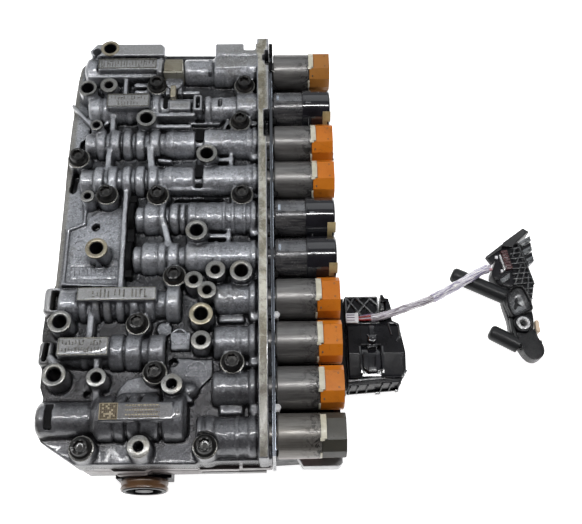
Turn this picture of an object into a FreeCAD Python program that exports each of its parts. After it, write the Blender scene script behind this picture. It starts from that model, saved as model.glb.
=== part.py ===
import FreeCAD, Part
import math
import os
import re
from FreeCAD import Vector as V, Placement, Rotation

# Valve body of an automatic transmission: two aluminium castings with a
# separator plate between them, ten solenoids along the right edge, an
# electronics housing below, and a position sensor on a short cable.
# All sizes are millimetres, +Z is up. The tables use bench coordinates:
# X = 0 is the joint between solenoid can and cap, Y = 0 is the axis of the
# front solenoid, Z = 0 is the surface the unit stands on. Every piece then
# gets the shift (origin_x, origin_y), which puts the frame's origin at the
# middle of the unit's base.

os.makedirs("parts", exist_ok=True)
doc = FreeCAD.newDocument("valve_body")
sheet = doc.addObject("Spreadsheet::Sheet", "Sizes")
SIZES = {}


def cell(alias, value):
    row = len(SIZES) + 1
    sheet.set("A%d" % row, alias)
    sheet.set("B%d" % row, "%.4f" % value)
    sheet.setAlias("B%d" % row, alias)
    SIZES[alias] = value
    return value


for alias, value in (
    ("origin_x", 57.9), ("origin_y", -136.25),
    ("sink_thick", 6.0), ("lower_base", 22.0), ("lower_top", 44.0),
    ("plate_top", 45.5), ("floor_top", 59.5), ("boss_top", 75.0),
    ("seat_top", 68.5), ("label_top", 75.0), ("axis_height", 60.5),
    ("spool_bore", 7.0), ("spool_land", 6.95), ("spool_neck", 4.2),
    ("groove_bore", 8.5), ("nose_bore", 8.0), ("nose_radius", 7.95),
    ("case_hole", 4.2), ("screw_hole", 3.2), ("shank_radius", 3.0),
    ("head_flange", 6.9), ("head_radius", 5.2), ("head_height", 6.4),
    ("can_radius", 13.75), ("can_long", 27.0), ("dark_can_radius", 13.25),
    ("armature_radius", 6.5), ("armature_pin", 2.0), ("armature_stroke", 1.5),
    ("cap_radius", 13.6), ("cap_long", 15.0), ("dark_cap_radius", 14.6),
    ("spool_stroke", 4.0), ("strip_left", -37.0), ("strip_right", -29.6),
    ("holder_thick", 2.0), ("cable_radius", 2.5), ("bush_bore", 2.2),
    ("bush_radius", 4.2), ("bracket_top", 13.0), ("latch_stroke", 3.0),
    ("plug_radius", 14.2), ("plug_ring_radius", 15.4), ("plug_axis", 16.0),
):
    cell(alias, value)

# Solenoid axes, counted from the back (01) to the front (10).
SOLENOID_Y = [274.0, 240.0, 210.0, 180.0, 150.0, 120.0, 90.0, 60.0, 30.0, 0.0]
for i, y in enumerate(SOLENOID_Y):
    cell("solenoid_%s_y" % "abcdefghij"[i], y)
DARK = (2, 5, 6)

# Spool rows: axis y, chamber ends, plug, spool and spring spans along X.
ROWS = {
    "a": dict(y=274.0, bore=(-161.0, -108.0), plug=(-116.0, -109.2), spool=(-147.0, -116.4), spring=(-160.4, -147.6)),
    "b": dict(y=240.0, bore=(-155.0, -106.2), plug=(-113.0, -107.0), spool=(-141.5, -113.4), spring=(-154.4, -142.1)),
    "c": dict(y=210.0, bore=(-155.0, -76.0), plug=(-89.0, -83.0), spool=(-140.0, -89.4), spring=(-154.4, -140.6)),
    "d": dict(y=180.0, bore=(-155.0, -76.0), plug=(-89.0, -83.0), spool=(-140.0, -89.4), spring=(-154.4, -140.6)),
    "e": dict(y=150.0, bore=(-122.2, -72.0), plug=(-83.6, -79.6), spool=(-104.0, -84.0), spring=(-115.8, -104.6)),
    "f": dict(y=120.0, bore=(-122.2, -72.0), plug=(-83.6, -79.6), spool=(-104.0, -84.0), spring=(-115.8, -104.6)),
    "g": dict(y=87.0, bore=(-160.0, -89.5), plug=(-97.0, -90.5), spool=(-146.0, -97.4), spring=(-159.4, -146.6)),
    "h": dict(y=54.5, bore=(-158.0, -96.8), plug=(-104.0, -97.6), spool=(-143.0, -104.4), spring=(-157.4, -143.6)),
    "j": dict(y=12.0, bore=(-173.5, -91.5), plug=(-161.4, -155.4), spool=(-140.0, -92.0), spring=(-155.0, -140.6)),
}
for key, row in ROWS.items():
    cell("row_%s_y" % key, row["y"])
doc.recompute()

ALIASES = re.compile(r"\b(" + "|".join(sorted(SIZES, key=len, reverse=True)) + r")\b")
OX, OY = SIZES["origin_x"], SIZES["origin_y"]
S = SIZES
COUNT = [0]
PARTS = {}


def expr(text):
    return ALIASES.sub(r"Sizes.\1", text)


def bind(obj, prop, value):
    if isinstance(value, str):
        obj.setExpression(prop, expr(value))
    else:
        obj.setExpression(prop, "%.4f" % value)


def place(obj, x=None, y=None, z=None):
    for axis, value in (("x", x), ("y", y), ("z", z)):
        if value is not None:
            bind(obj, "Placement.Base." + axis, value)
    return obj


def fresh(kind, stem):
    COUNT[0] += 1
    return doc.addObject(kind, "%s_%03d" % (stem, COUNT[0]))


def num(value):
    return size_of(value) if isinstance(value, str) else float(value)


def size_of(text):
    # sums and differences of aliases and numbers only
    total, sign = 0.0, 1.0
    for token in re.findall(r"[+-]|[A-Za-z_]+|\d+\.?\d*", text):
        if token in "+-":
            sign = 1.0 if token == "+" else -1.0
        else:
            total += sign * (SIZES[token] if token in SIZES else float(token))
            sign = 1.0
    return total


def box(x0, x1, y0, y1, z0, z1):
    o = fresh("Part::Box", "block")
    o.Length, o.Width = x1 - x0, y1 - y0
    o.Placement = Placement(V(x0, y0, num(z0)), Rotation())
    if isinstance(z0, str) or isinstance(z1, str):
        a = z0 if isinstance(z0, str) else "%.3f" % z0
        b = z1 if isinstance(z1, str) else "%.3f" % z1
        bind(o, "Placement.Base.z", a)
        o.setExpression("Height", expr("(%s) - (%s)" % (b, a)))
    else:
        o.Height = z1 - z0
    return o


def tube_x(x0, x1, y, r, z="axis_height"):
    o = fresh("Part::Cylinder", "barrel")
    o.Height = x1 - x0
    o.Placement = Placement(V(x0, num(y), num(z)), Rotation(V(0, 1, 0), 90))
    bind(o, "Radius", r)
    if isinstance(z, str):
        bind(o, "Placement.Base.z", z)
    if isinstance(y, str):
        bind(o, "Placement.Base.y", y)
    return o


def tube_y(x, z, y0, y1, r):
    o = fresh("Part::Cylinder", "tube")
    o.Height = y1 - y0
    o.Placement = Placement(V(x, y0, num(z)), Rotation(V(1, 0, 0), -90))
    bind(o, "Radius", r)
    if isinstance(z, str):
        bind(o, "Placement.Base.z", z)
    return o


def tube_z(x, y, z0, z1, r):
    o = fresh("Part::Cylinder", "boss")
    o.Placement = Placement(V(x, y, num(z0)), Rotation())
    bind(o, "Radius", r)
    a = z0 if isinstance(z0, str) else "%.3f" % z0
    b = z1 if isinstance(z1, str) else "%.3f" % z1
    bind(o, "Placement.Base.z", a)
    o.setExpression("Height", expr("(%s) - (%s)" % (b, a)))
    return o


def bar(p, q, width, z0, z1):
    # a straight wall between two points, seen from above
    length = math.hypot(q[0] - p[0], q[1] - p[1])
    angle = math.degrees(math.atan2(q[1] - p[1], q[0] - p[0]))
    o = fresh("Part::Box", "rib")
    o.Length, o.Width = length, width
    rot = Rotation(V(0, 0, 1), angle)
    o.Placement = Placement(V(p[0], p[1], num(z0)) + rot.multVec(V(0, -width / 2, 0)), rot)
    a = z0 if isinstance(z0, str) else "%.3f" % z0
    b = z1 if isinstance(z1, str) else "%.3f" % z1
    bind(o, "Placement.Base.z", a)
    o.setExpression("Height", expr("(%s) - (%s)" % (b, a)))
    return o


def fuse(items, stem="joined"):
    if len(items) == 1:
        return items[0]
    o = fresh("Part::MultiFuse", stem)
    o.Shapes = items
    return o


def cut(base, tool, stem="cut"):
    o = fresh("Part::Cut", stem)
    o.Base, o.Tool = base, tool
    return o


def finish(name, obj, shift=True):
    obj.Label = name
    if shift:
        place(obj, "origin_x", "origin_y")
    PARTS[name] = obj
    return obj


def plane(body, role):
    for feature in body.Origin.OriginFeatures:
        if feature.Role == role:
            return feature
    raise ValueError(role)


def pad_body(stem, points, z0, z1, circles=(), role="XY_Plane"):
    # a flat plate: one sketch of straight edges and round holes, padded
    body = fresh("PartDesign::Body", stem)
    sketch = body.newObject("Sketcher::SketchObject", body.Name + "_outline")
    sketch.AttachmentSupport = [(plane(body, role), "")]
    sketch.MapMode = "FlatFace"
    bind(sketch, "AttachmentOffset.Base.z", z0)
    for i, p in enumerate(points):
        q = points[(i + 1) % len(points)]
        sketch.addGeometry(Part.LineSegment(V(p[0], p[1], 0), V(q[0], q[1], 0)), False)
    for (x, y, r) in circles:
        sketch.addGeometry(Part.Circle(V(x, y, 0), V(0, 0, 1), num(r)), False)
    pad = body.newObject("PartDesign::Pad", body.Name + "_pad")
    pad.Profile = sketch
    a = z0 if isinstance(z0, str) else "%.3f" % z0
    b = z1 if isinstance(z1, str) else "%.3f" % z1
    pad.setExpression("Length", expr("(%s) - (%s)" % (b, a)))
    return body


def turned_body(stem, profile):
    # a turned piece: (x, radius) profile revolved about its own X axis
    body = fresh("PartDesign::Body", stem)
    sketch = body.newObject("Sketcher::SketchObject", body.Name + "_profile")
    sketch.AttachmentSupport = [(plane(body, "XY_Plane"), "")]
    sketch.MapMode = "FlatFace"
    for i, p in enumerate(profile):
        q = profile[(i + 1) % len(profile)]
        sketch.addGeometry(Part.LineSegment(V(p[0], p[1], 0), V(q[0], q[1], 0)), False)
    rev = body.newObject("PartDesign::Revolution", body.Name + "_turn")
    rev.Profile = sketch
    rev.ReferenceAxis = (sketch, ["H_Axis"])
    rev.Angle = 360.0
    return body


def group(name, shapes):
    # identical pieces kept as separate solids in one node
    o = doc.addObject("Part::Feature", name)
    o.Shape = Part.makeCompound(shapes)
    o.Label = name
    place(o, "origin_x", "origin_y")
    PARTS[name] = o
    return o


# ------------------------------------------------------------------ layout
# Outline of the castings, seen from above, counter-clockwise.
OUTLINE = [(-149.4, -15.0), (-76.3, -16.0), (-73.5, -14.2), (-37.0, -14.2),
           (-37.0, 292.0), (-155.0, 293.0), (-164.5, 290.5), (-171.0, 281.0),
           (-172.5, 268.0), (-173.2, 243.0), (-173.7, 200.0), (-172.8, 151.0),
           (-172.4, 103.0), (-176.4, 93.0), (-177.4, 68.0), (-175.2, 48.0),
           (-174.8, 33.0), (-172.2, 26.4), (-174.2, 13.0), (-172.0, 2.0),
           (-171.0, -1.0), (-151.6, -13.6)]

# Bosses that the case bolts pass through: x, y, outer radius.
CASE_BOSSES = [(-147.1, 287.2, 6.9), (-160.8, 251.5, 6.6), (-117.0, 225.0, 7.1),
               (-73.4, 195.0, 7.3), (-78.7, 135.0, 7.4), (-143.9, 122.5, 7.4),
               (-48.8, 105.0, 7.4), (-162.75, 71.3, 7.4), (-162.75, 36.7, 7.4),
               (-74.1, 75.4, 7.6)]
# Smaller bosses with blind holes: x, y, outer radius, hole radius.
SMALL_BOSSES = [(-145.7, 254.2, 6.3, 2.9), (-151.9, 219.6, 4.4, 2.4),
                (-153.2, 162.0, 4.7, 2.2), (-65.6, 106.1, 6.5, 2.9),
                (-79.5, 99.2, 6.1, 2.8), (-70.7, 91.9, 6.1, 2.8),
                (-136.9, 34.7, 6.1, 3.2), (-90.6, 30.0, 6.6, 3.1),
                (-73.6, 57.9, 6.4, 3.0), (-108.6, -7.9, 6.9, 2.9)]
# Bolts that hold the castings together: x, y, seat height.
BOLTS = [(-111.5, 257.4, 68.5), (-47.6, 257.0, 68.5), (-50.7, 225.0, 68.5),
         (-163.3, 195.4, 68.5), (-141.1, 165.0, 70.0), (-106.6, 165.0, 68.5),
         (-49.0, 165.0, 68.5), (-92.7, 104.4, 68.5), (-114.7, 71.3, 68.5),
         (-102.1, 39.0, 68.5), (-54.2, 45.0, 68.5), (-143.5, -7.3, 68.5),
         (-69.8, -7.2, 68.5)]

# Housings over the bores: x0, x1, radius, by row axis.
BARRELS = {
    274.0: [(-165.0, -111.0, 10.6), (-166.0, -156.0, 11.6), (-111.5, -107.8, 12.2),
            (-92.1, -69.0, 10.6), (-69.2, -37.6, 13.0)],
    240.0: [(-160.5, -106.2, 10.4), (-158.0, -147.2, 11.4), (-115.3, -109.1, 12.0),
            (-76.3, -70.9, 11.2), (-70.8, -52.0, 10.6), (-52.1, -37.6, 13.0)],
    210.0: [(-160.0, -99.3, 9.9), (-151.3, -145.7, 11.4), (-142.1, -135.3, 11.4), (-133.2, -127.3, 11.4),
            (-123.7, -118.1, 11.4), (-114.1, -107.5, 11.4), (-99.5, -82.4, 11.6), (-76.0, -43.3, 12.3),
            (-43.0, -37.6, 13.0)],
    180.0: [(-161.0, -99.4, 9.9), (-151.1, -144.9, 11.4), (-141.4, -135.6, 11.4), (-131.3, -126.2, 11.4),
            (-122.7, -116.5, 11.4), (-113.7, -107.5, 11.4), (-99.6, -82.4, 11.6), (-75.8, -43.3, 12.1),
            (-43.0, -37.6, 12.8)],
    150.0: [(-121.0, -37.6, 9.8), (-114.8, -105.3, 11.4), (-105.0, -100.6, 12.1), (-97.6, -91.5, 11.2),
            (-90.6, -87.2, 11.2), (-85.9, -79.0, 11.2), (-78.9, -37.6, 11.8), (-62.0, -60.0, 12.4),
            (-56.0, -54.0, 12.4), (-48.0, -46.0, 12.4)],
    120.0: [(-121.0, -37.6, 9.8), (-114.9, -104.8, 11.3), (-104.3, -98.4, 11.9), (-98.0, -90.8, 11.3),
            (-86.1, -78.9, 11.2), (-78.8, -37.6, 12.0)],
    87.0: [(-166.0, -155.0, 11.6), (-160.0, -88.8, 9.8), (-152.4, -148.5, 11.8), (-144.0, -140.2, 11.8),
           (-136.9, -133.1, 11.8), (-128.9, -124.3, 11.8), (-120.2, -115.0, 11.8), (-110.5, -104.7, 11.8),
           (-97.3, -88.6, 11.8)],
    54.5: [(-163.0, -97.0, 9.8), (-131.7, -122.1, 11.8), (-121.5, -111.2, 11.8), (-107.0, -96.6, 10.6)],
    12.0: [(-172.3, -140.0, 10.9), (-140.3, -81.5, 14.2)],
    90.0: [(-65.4, -43.3, 11.4), (-43.0, -37.6, 12.8)],
    60.0: [(-65.4, -43.3, 11.2), (-43.0, -37.6, 12.8)],
    30.0: [(-65.4, -43.3, 11.4), (-43.0, -37.6, 12.8)],
    0.0: [(-74.4, -71.4, 12.4), (-70.8, -64.2, 12.6), (-75.0, -37.6, 12.0)],
}
# Ring grooves cut around the spool bores, at the lobes: row, x centre.
GROOVES = [("a", -152.5), ("a", -140.0), ("a", -127.0), ("b", -151.0), ("b", -133.0), ("b", -120.0),
           ("c", -148.5), ("c", -138.7), ("c", -130.2), ("c", -120.9), ("c", -110.8), ("c", -95.0),
           ("d", -148.0), ("d", -138.5), ("d", -128.8), ("d", -119.6), ("d", -110.6), ("d", -95.0),
           ("e", -110.0), ("e", -102.8), ("e", -94.6), ("f", -110.0), ("f", -101.4), ("f", -94.4),
           ("g", -150.5), ("g", -142.1), ("g", -135.0), ("g", -126.6), ("g", -117.6), ("g", -107.6),
           ("h", -150.0), ("h", -136.0), ("h", -126.9), ("h", -116.3), ("h", -108.5),
           ("j", -150.0), ("j", -132.0), ("j", -118.0), ("j", -104.0)]
NOSE_END = {274.0: -64.0, 240.0: -64.0, 210.0: -70.0, 180.0: -70.0, 150.0: -70.0, 120.0: -70.0,
            90.0: -62.5, 60.0: -62.5, 30.0: -62.5, 0.0: -62.5}

# ----------------------------------------------------------- upper casting
adds = [pad_body("slab", OUTLINE, "plate_top", "floor_top")]
for y, spans in BARRELS.items():
    for (x0, x1, r) in spans:
        adds.append(tube_x(x0, x1, y, r))
    # web that carries the housings down to the floor
    adds.append(box(min(s[0] for s in spans) + 0.7, -38.0 if max(s[1] for s in spans) > -40 else max(s[1] for s in spans) - 0.7,
                    y - 8.2, y + 8.2, "plate_top + 0.6", "floor_top + 3"))
for (x, y, r) in CASE_BOSSES:
    adds.append(tube_z(x, y, "plate_top + 0.5", "boss_top", r))
for (x, y, r, h) in SMALL_BOSSES:
    adds.append(tube_z(x, y, "plate_top + 0.5", "boss_top - 0.5", r))
for (x, y, seat) in BOLTS:
    adds.append(tube_z(x, y, "plate_top + 0.5", seat, 7.5))
# machined strip that the solenoids bolt to
adds.append(box(-37.4, -29.6, -15.8, 209.0, "plate_top", "boss_top - 1"))
adds.append(box(-37.4, -32.8, 208.5, 232.5, "plate_top", "boss_top - 1"))
adds.append(box(-37.4, -29.6, 232.0, 297.0, "plate_top", "boss_top - 1"))
# label pads on top of the housings
for (x0, x1, y0, y1) in ((-154.5, -111.3, 267.6, 277.3), (-146.0, -115.4, 234.0, 245.8),
                         (-153.5, -102.9, 85.2, 94.4), (-162.5, -130.7, 48.4, 60.8), (-134.3, -88.9, 7.3, 18.8)):
    adds.append(box(x0, x1, y0, y1, "axis_height", "label_top"))
adds.append(box(-164.0, -112.0, 264.8, 270.0, "plate_top + 1", "label_top - 5"))
# back edge: flat plate at the left and step block at the right
adds.append(pad_body("back_plate", [(-154.0, 280.5), (-106.5, 280.5), (-106.5, 289.0), (-108.5, 291.5),
                                    (-157.0, 291.5), (-161.5, 286.0)], "floor_top - 1", "label_top"))
adds.append(box(-69.2, -37.3, 281.0, 292.0, "floor_top - 1", "boss_top - 1"))
# wall that closes the left side of the third lower row
adds.append(box(-173.6, -165.0, 79.5, 97.7, "floor_top - 1", 70.0))
# square pads, lugs and ledges
adds.append(box(-94.0, -81.0, 55.2, 67.6, "floor_top - 1", 71.5))
adds.append(box(-64.3, -46.7, 73.0, 79.1, "floor_top - 1", 64.5))
adds.append(box(-62.5, -47.0, 12.5, 19.4, "floor_top - 1", 64.5))
adds.append(box(-123.0, -99.7, 21.2, 27.0, "floor_top - 1", 68.0))
adds.append(box(-111.9, -97.4, -8.0, 2.0, "floor_top - 1", 66.0))
adds.append(box(-95.0, -81.1, -8.0, 2.0, "floor_top - 1", 66.0))
adds.append(box(-84.4, -77.9, 231.9, 245.5, "floor_top - 1", 74.0))
adds.append(box(-101.5, -86.0, 231.9, 240.8, "floor_top - 1", 73.5))
adds.append(pad_body("kite", [(-92.5, 51.0), (-66.0, 50.0), (-65.5, 38.0), (-79.5, 25.6), (-95.5, 30.0)],
                     "floor_top - 1", 63.0))
for (x, y) in ((-39.9, 138.0), (-39.9, 105.0), (-39.9, 76.5), (-39.9, 15.5)):
    adds.append(tube_z(x, y, "floor_top - 1", 72.0, 3.9))
# ribs between the rows
for (p, q, w, top) in (((-135.0, 249.0), (-135.0, 266.0), 3.4, 67.0), ((-142.0, 216.0), (-142.0, 234.0), 4.0, 67.0),
                       ((-142.6, 187.0), (-142.6, 203.0), 4.2, 67.0), ((-112.2, 186.0), (-112.2, 203.0), 5.4, 67.0),
                       ((-111.5, 231.0), (-84.5, 231.0), 3.2, 69.0), ((-111.0, 221.1), (-85.8, 221.1), 3.2, 69.0),
                       ((-129.0, 175.0), (-127.6, 97.0), 4.0, 67.5), ((-101.0, 143.0), (-98.4, 129.0), 4.6, 69.0),
                       ((-145.0, 64.0), (-145.0, 83.0), 4.4, 67.0), ((-138.4, 38.0), (-138.4, 49.0), 5.6, 71.0),
                       ((-138.0, 21.0), (-138.0, 31.0), 4.2, 69.0), ((-127.4, 260.4), (-118.0, 260.4), 4.0, 66.0),
                       ((-127.4, 254.3), (-118.0, 254.3), 3.0, 66.0), ((-92.7, 253.2), (-84.0, 253.2), 3.4, 66.0),
                       ((-157.2, 163.5), (-156.6, 147.3), 2.6, 63.0), ((-156.6, 147.3), (-167.0, 142.8), 2.6, 63.0),
                       ((-167.0, 142.8), (-166.8, 102.7), 2.6, 63.0), ((-166.0, 106.0), (-131.8, 106.0), 2.4, 62.5),
                       ((-166.0, 116.3), (-131.8, 116.3), 2.4, 62.5), ((-167.5, 239.0), (-154.0, 228.0), 2.4, 63.0),
                       ((-126.0, 25.0), (-105.0, 32.5), 3.0, 63.5), ((-86.0, 195.0), (-60.0, 195.0), 3.0, 66.0),
                       ((-100.0, 195.0), (-126.0, 195.0), 3.0, 65.0), ((-60.0, 135.0), (-71.0, 135.0), 3.0, 66.0)):
    adds.append(bar(p, q, w, "floor_top - 1", top))
solid = fuse(adds, "upper_mass")

tools = []
for key, row in ROWS.items():
    b = row["bore"]
    tools.append(tube_x(b[0], b[1], "row_%s_y" % key, "spool_bore"))
for key, x in GROOVES:
    tools.append(tube_x(x - 2.0, x + 2.0, "row_%s_y" % key, "groove_bore"))
for i, y in enumerate(SOLENOID_Y):
    tools.append(tube_x(NOSE_END[y], -29.0, "solenoid_%s_y" % "abcdefghij"[i], "nose_bore"))
for (x, y, r) in CASE_BOSSES:
    tools.append(tube_z(x, y, 40.0, 80.0, "case_hole"))
for (x, y, r, h) in SMALL_BOSSES:
    tools.append(tube_z(x, y, 62.5 if h > 3.0 else 61.0, 80.0, h))
for (x, y, seat) in BOLTS:
    tools.append(tube_z(x, y, 40.0, 80.0, "screw_hole"))
    tools.append(tube_z(x, y, seat, 90.0, 8.0))
for (x, y, r, z) in ((-156.6, 284.3, 3.2, 66.0), (-149.0, 145.3, 2.8, 54.0), (-92.0, 47.8, 2.9, 54.0),
                     (-145.0, 28.3, 2.1, 54.0), (-162.0, 134.0, 2.6, 57.5)):
    tools.append(tube_z(x, y, z, 80.0, r))
# cross slots for the keeper clips
for (x0, x1, y0, y1, z0) in ((-106.1, -103.1, 232.5, 247.5, 49.5), (-82.3, -76.1, 202.0, 218.0, 50.5),
                             (-81.8, -75.7, 172.0, 188.0, 50.5), (-167.2, -162.3, 4.0, 20.0, 50.5),
                             (-171.5, -167.2, 81.0, 96.0, 62.5), (-48.2, -39.2, 285.4, 300.0, 66.5),
                             (-82.2, -79.4, 234.0, 243.5, 70.5)):
    tools.append(box(x0, x1, y0, y1, z0, 80.0))
tools.append(box(-171.0, -165.0, 172.0, 189.0, 56.5, 80.0))
# seat of the pressure damper
tools.append(box(-106.3, -92.6, 262.6, 290.0, 62.0, 80.0))
tools.append(tube_z(-99.2, 274.0, 50.0, 80.0, 5.2))
# notch in the top corner of the solenoid strip
tools.append(box(-31.5, -27.0, 272.0, 286.0, 62.0, 80.0))
# oil channels in the underside, with drillings up to the bores
CHANNELS = [((-150.0, 258.0), (-100.0, 258.0), 5.0), ((-150.0, 229.0), (-60.0, 229.0), 5.0),
            ((-148.0, 201.5), (-84.0, 201.5), 4.0), ((-134.0, 171.5), (-112.0, 171.5), 4.0),
            ((-148.0, 182.0), (-66.0, 182.0), 5.0), ((-118.0, 150.0), (-62.0, 150.0), 5.0),
            ((-118.0, 120.0), (-62.0, 120.0), 5.0), ((-152.0, 96.0), (-100.0, 96.0), 4.0),
            ((-152.0, 86.0), (-66.0, 86.0), 5.0), ((-152.0, 54.0), (-84.0, 54.0), 5.0),
            ((-152.0, 12.0), (-84.0, 12.0), 5.0), ((-152.0, 24.0), (-60.0, 24.0), 4.0)]
for (p, q, w) in CHANNELS:
    tools.append(bar(p, q, w, 45.0, 50.5))
PORTS = [(-152.5, 274.0), (-127.0, 274.0), (-133.0, 240.0), (-120.0, 240.0), (-148.5, 210.0), (-130.2, 210.0),
         (-110.8, 210.0), (-138.5, 182.0), (-119.6, 182.0), (-95.0, 182.0), (-110.0, 150.0), (-94.6, 150.0),
         (-101.4, 120.0), (-94.4, 120.0), (-142.1, 87.0), (-126.6, 87.0), (-107.6, 87.0), (-136.0, 54.5),
         (-116.3, 54.5), (-132.0, 12.0), (-104.0, 12.0), (-50.0, 240.0), (-50.0, 210.0), (-50.0, 180.0)]
for (x, y) in PORTS:
    tools.append(tube_z(x, y, 45.0, 55.0, 1.8))
finish("upper_casting", cut(solid, fuse(tools, "upper_voids"), "upper"))

# --------------------------------------------------------- separator plate
plate_holes = [(x, y, "screw_hole + 0.2") for (x, y, s) in BOLTS]
plate_holes += [(x, y, "case_hole + 0.2") for (x, y, r) in CASE_BOSSES]
plate_holes += [(x, y, 1.1) for (x, y) in PORTS]
finish("separator_plate", pad_body("plate", OUTLINE, "lower_top", "plate_top", plate_holes))

# ----------------------------------------------------------- lower casting
LOWER = [(-149.0, -14.2), (-131.0, -14.8), (-128.0, -16.6), (-109.0, -16.8), (-106.0, -15.2), (-77.0, -15.2),
         (-74.0, -13.4), (-29.6, -13.4), (-29.6, 290.0), (-156.0, 291.5), (-163.5, 289.0), (-170.0, 280.0),
         (-171.5, 268.0), (-172.4, 243.0), (-172.8, 200.0), (-172.0, 151.0), (-171.6, 103.0), (-175.2, 93.0),
         (-176.4, 68.0), (-174.2, 48.0), (-173.8, 33.0), (-171.4, 26.4), (-173.2, 13.0), (-171.0, 2.0),
         (-170.0, -1.0), (-151.4, -12.8)]
low_tools = [tube_z(x, y, 20.0, 50.0, "case_hole") for (x, y, r) in CASE_BOSSES]
low_tools += [tube_z(x, y, 24.0, 50.0, 3.05) for (x, y, s) in BOLTS]
for (p, q, w) in CHANNELS:
    low_tools.append(bar(p, q, w, 36.0, 45.0))
for (x0, x1, y0, y1) in ((-140.0, -104.0, 190.0, 198.0), (-100.0, -60.0, 158.0, 170.0), (-140.0, -120.0, 140.0, 158.0),
                         (-110.0, -84.0, 60.0, 72.0), (-60.0, -36.0, 66.0, 84.0), (-60.0, -36.0, 120.0, 150.0),
                         (-60.0, -36.0, 184.0, 214.0), (-136.0, -82.0, -4.0, 6.0)):
    low_tools.append(box(x0, x1, y0, y1, 28.0, 45.0))
# machined lines along the front face
low_tools.append(box(-180.0, -20.0, -20.0, -13.9, 33.0, 34.0))
finish("lower_casting", cut(pad_body("lower", LOWER, "lower_base", "lower_top"), fuse(low_tools, "lower_voids"), "lower"))


# ------------------------------------------------------------------- bolts
def turned(profile, x, y, z, axis):
    # a turned shape from its (length, radius) profile
    face = Part.Face(Part.makePolygon([V(a, r, 0) for (a, r) in profile + profile[:1]]))
    shape = face.revolve(V(0, 0, 0), V(1, 0, 0), 360)
    if axis == "z":
        shape.rotate(V(0, 0, 0), V(0, 1, 0), -90)
    elif axis == "-x":
        shape.rotate(V(0, 0, 0), V(0, 0, 1), 180)
    shape.translate(V(x, y, z))
    return shape


def solid_of(shape):
    return shape.Solids[0]


def lobe_recess(x, y, z0, z1, r):
    # six-lobed socket of a star-drive screw
    core = Part.makeCylinder(r * 0.80, z1 - z0, V(x, y, z0))
    for k in range(6):
        a = math.radians(60 * k)
        core = core.fuse(Part.makeCylinder(r * 0.24, z1 - z0, V(x + r * 0.78 * math.cos(a), y + r * 0.78 * math.sin(a), z0)))
    return core


bolts = []
for (x, y, seat) in BOLTS:
    h, rf, rh, rs = S["head_height"], S["head_flange"], S["head_radius"], S["shank_radius"]
    p = [(-(seat - 25.0), 0), (-(seat - 25.0), rs - 0.5), (-(seat - 26.0), rs), (0, rs), (0, rf), (1.4, rf), (2.2, rf - 1.0),
         (2.2, rh), (h - 0.5, rh), (h, rh - 0.5), (h, 0)]
    b = turned(p, x, y, seat, "z").cut(lobe_recess(x, y, seat + h - 3.2, seat + h + 1, 3.3))
    bolts.append(solid_of(b))
group("casting_bolts", bolts)

# ---------------------------------------------------------- solenoid holder
holder = []
for (y0, y1) in ((-14.0, 286.0),):
    pts = [(y0, 24.0), (y1, 24.0), (y1, 70.0), (y0, 70.0)]
    holes = [(y, S["axis_height"], 8.4) for y in SOLENOID_Y]
    holes += [(y, 66.5, 1.9) for y in (15.0, 75.0, 135.0, 195.0, 257.0)]
    body = pad_body("holder", pts, "strip_right + 0.1", "strip_right + 0.1 + holder_thick", holes, role="YZ_Plane")
finish("solenoid_plate", body)
screws = []
for y in (15.0, 75.0, 135.0, 195.0, 257.0):
    p = [(-8.0, 0), (-8.0, 1.6), (0, 1.6), (0, 3.1), (0.4, 3.1), (0.8, 2.6), (0.8, 0)]
    screws.append(solid_of(turned(p, -27.5, y, 66.5, "x")))
# the tapped holes for these screws are made in the strip
hole_tools = [tube_x(-36.0, -29.0, y, 1.7, 66.5) for y in (15.0, 75.0, 135.0, 195.0, 257.0)]
hole_tools += [box(-29.6, -26.0, 209.2, 232.0, 50.0, 73.0)]
old = PARTS.pop("upper_casting")
old.Label = "upper_bored"
for prop in ("Placement.Base.x", "Placement.Base.y"):
    old.setExpression(prop, None)
old.Placement = Placement()
finish("upper_casting", cut(old, fuse(hole_tools[:5], "tapped"), "upper_done"))
group("plate_screws", screws)

# -------------------------------------------------------------- keeper clips
clips = []


def clip_plate(x0, x1, y, z0, z1, half, gap=0.15):
    blank = Part.makeBox(x1 - x0 - 2 * gap, 2 * half, z1 - z0, V(x0 + gap, y - half, z0))
    slot = Part.makeBox(20, 2 * half - 5.0, z1 - z0, V(x0 - 5, y - half + 2.5, z0 - 5.0))
    return solid_of(blank.cut(slot))


clips.append(clip_plate(-106.1, -103.1, 240.0, 49.8, 70.0, 7.2))
clips.append(clip_plate(-82.3, -76.1, 210.0, 50.8, 71.0, 7.7))
clips.append(clip_plate(-81.8, -75.7, 180.0, 50.8, 71.0, 7.7))
clips.append(clip_plate(-167.2, -162.3, 12.0, 50.8, 69.0, 7.8))
for y in (150.0, 120.0):
    # spring clip over the open end of the row
    ring = Part.makeCylinder(12.4, 3.2, V(-125.0, y, S["axis_height"]), V(1, 0, 0))
    ring = ring.cut(Part.makeCylinder(9.0, 9.0, V(-127.0, y, S["axis_height"]), V(1, 0, 0)))
    ring = ring.cut(Part.makeBox(20, 40, 40, V(-130.0, y - 20.0, S["floor_top"] + 0.2 - 40.0)))
    back = Part.makeBox(2.0, 22.0, 6.0, V(-125.4, y - 11.0, S["floor_top"] + 0.2))
    ring = ring.fuse(back)
    lug_a = Part.makeBox(4.4, 5.0, 8.0, V(-125.4, y - 15.4, S["floor_top"] + 0.2))
    lug_b = Part.makeBox(4.4, 5.0, 8.0, V(-125.4, y + 10.4, S["floor_top"] + 0.2))
    ring = ring.fuse(lug_a).fuse(lug_b).removeSplitter()
    clips.append(solid_of(ring))
group("keeper_clips", clips)

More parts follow.
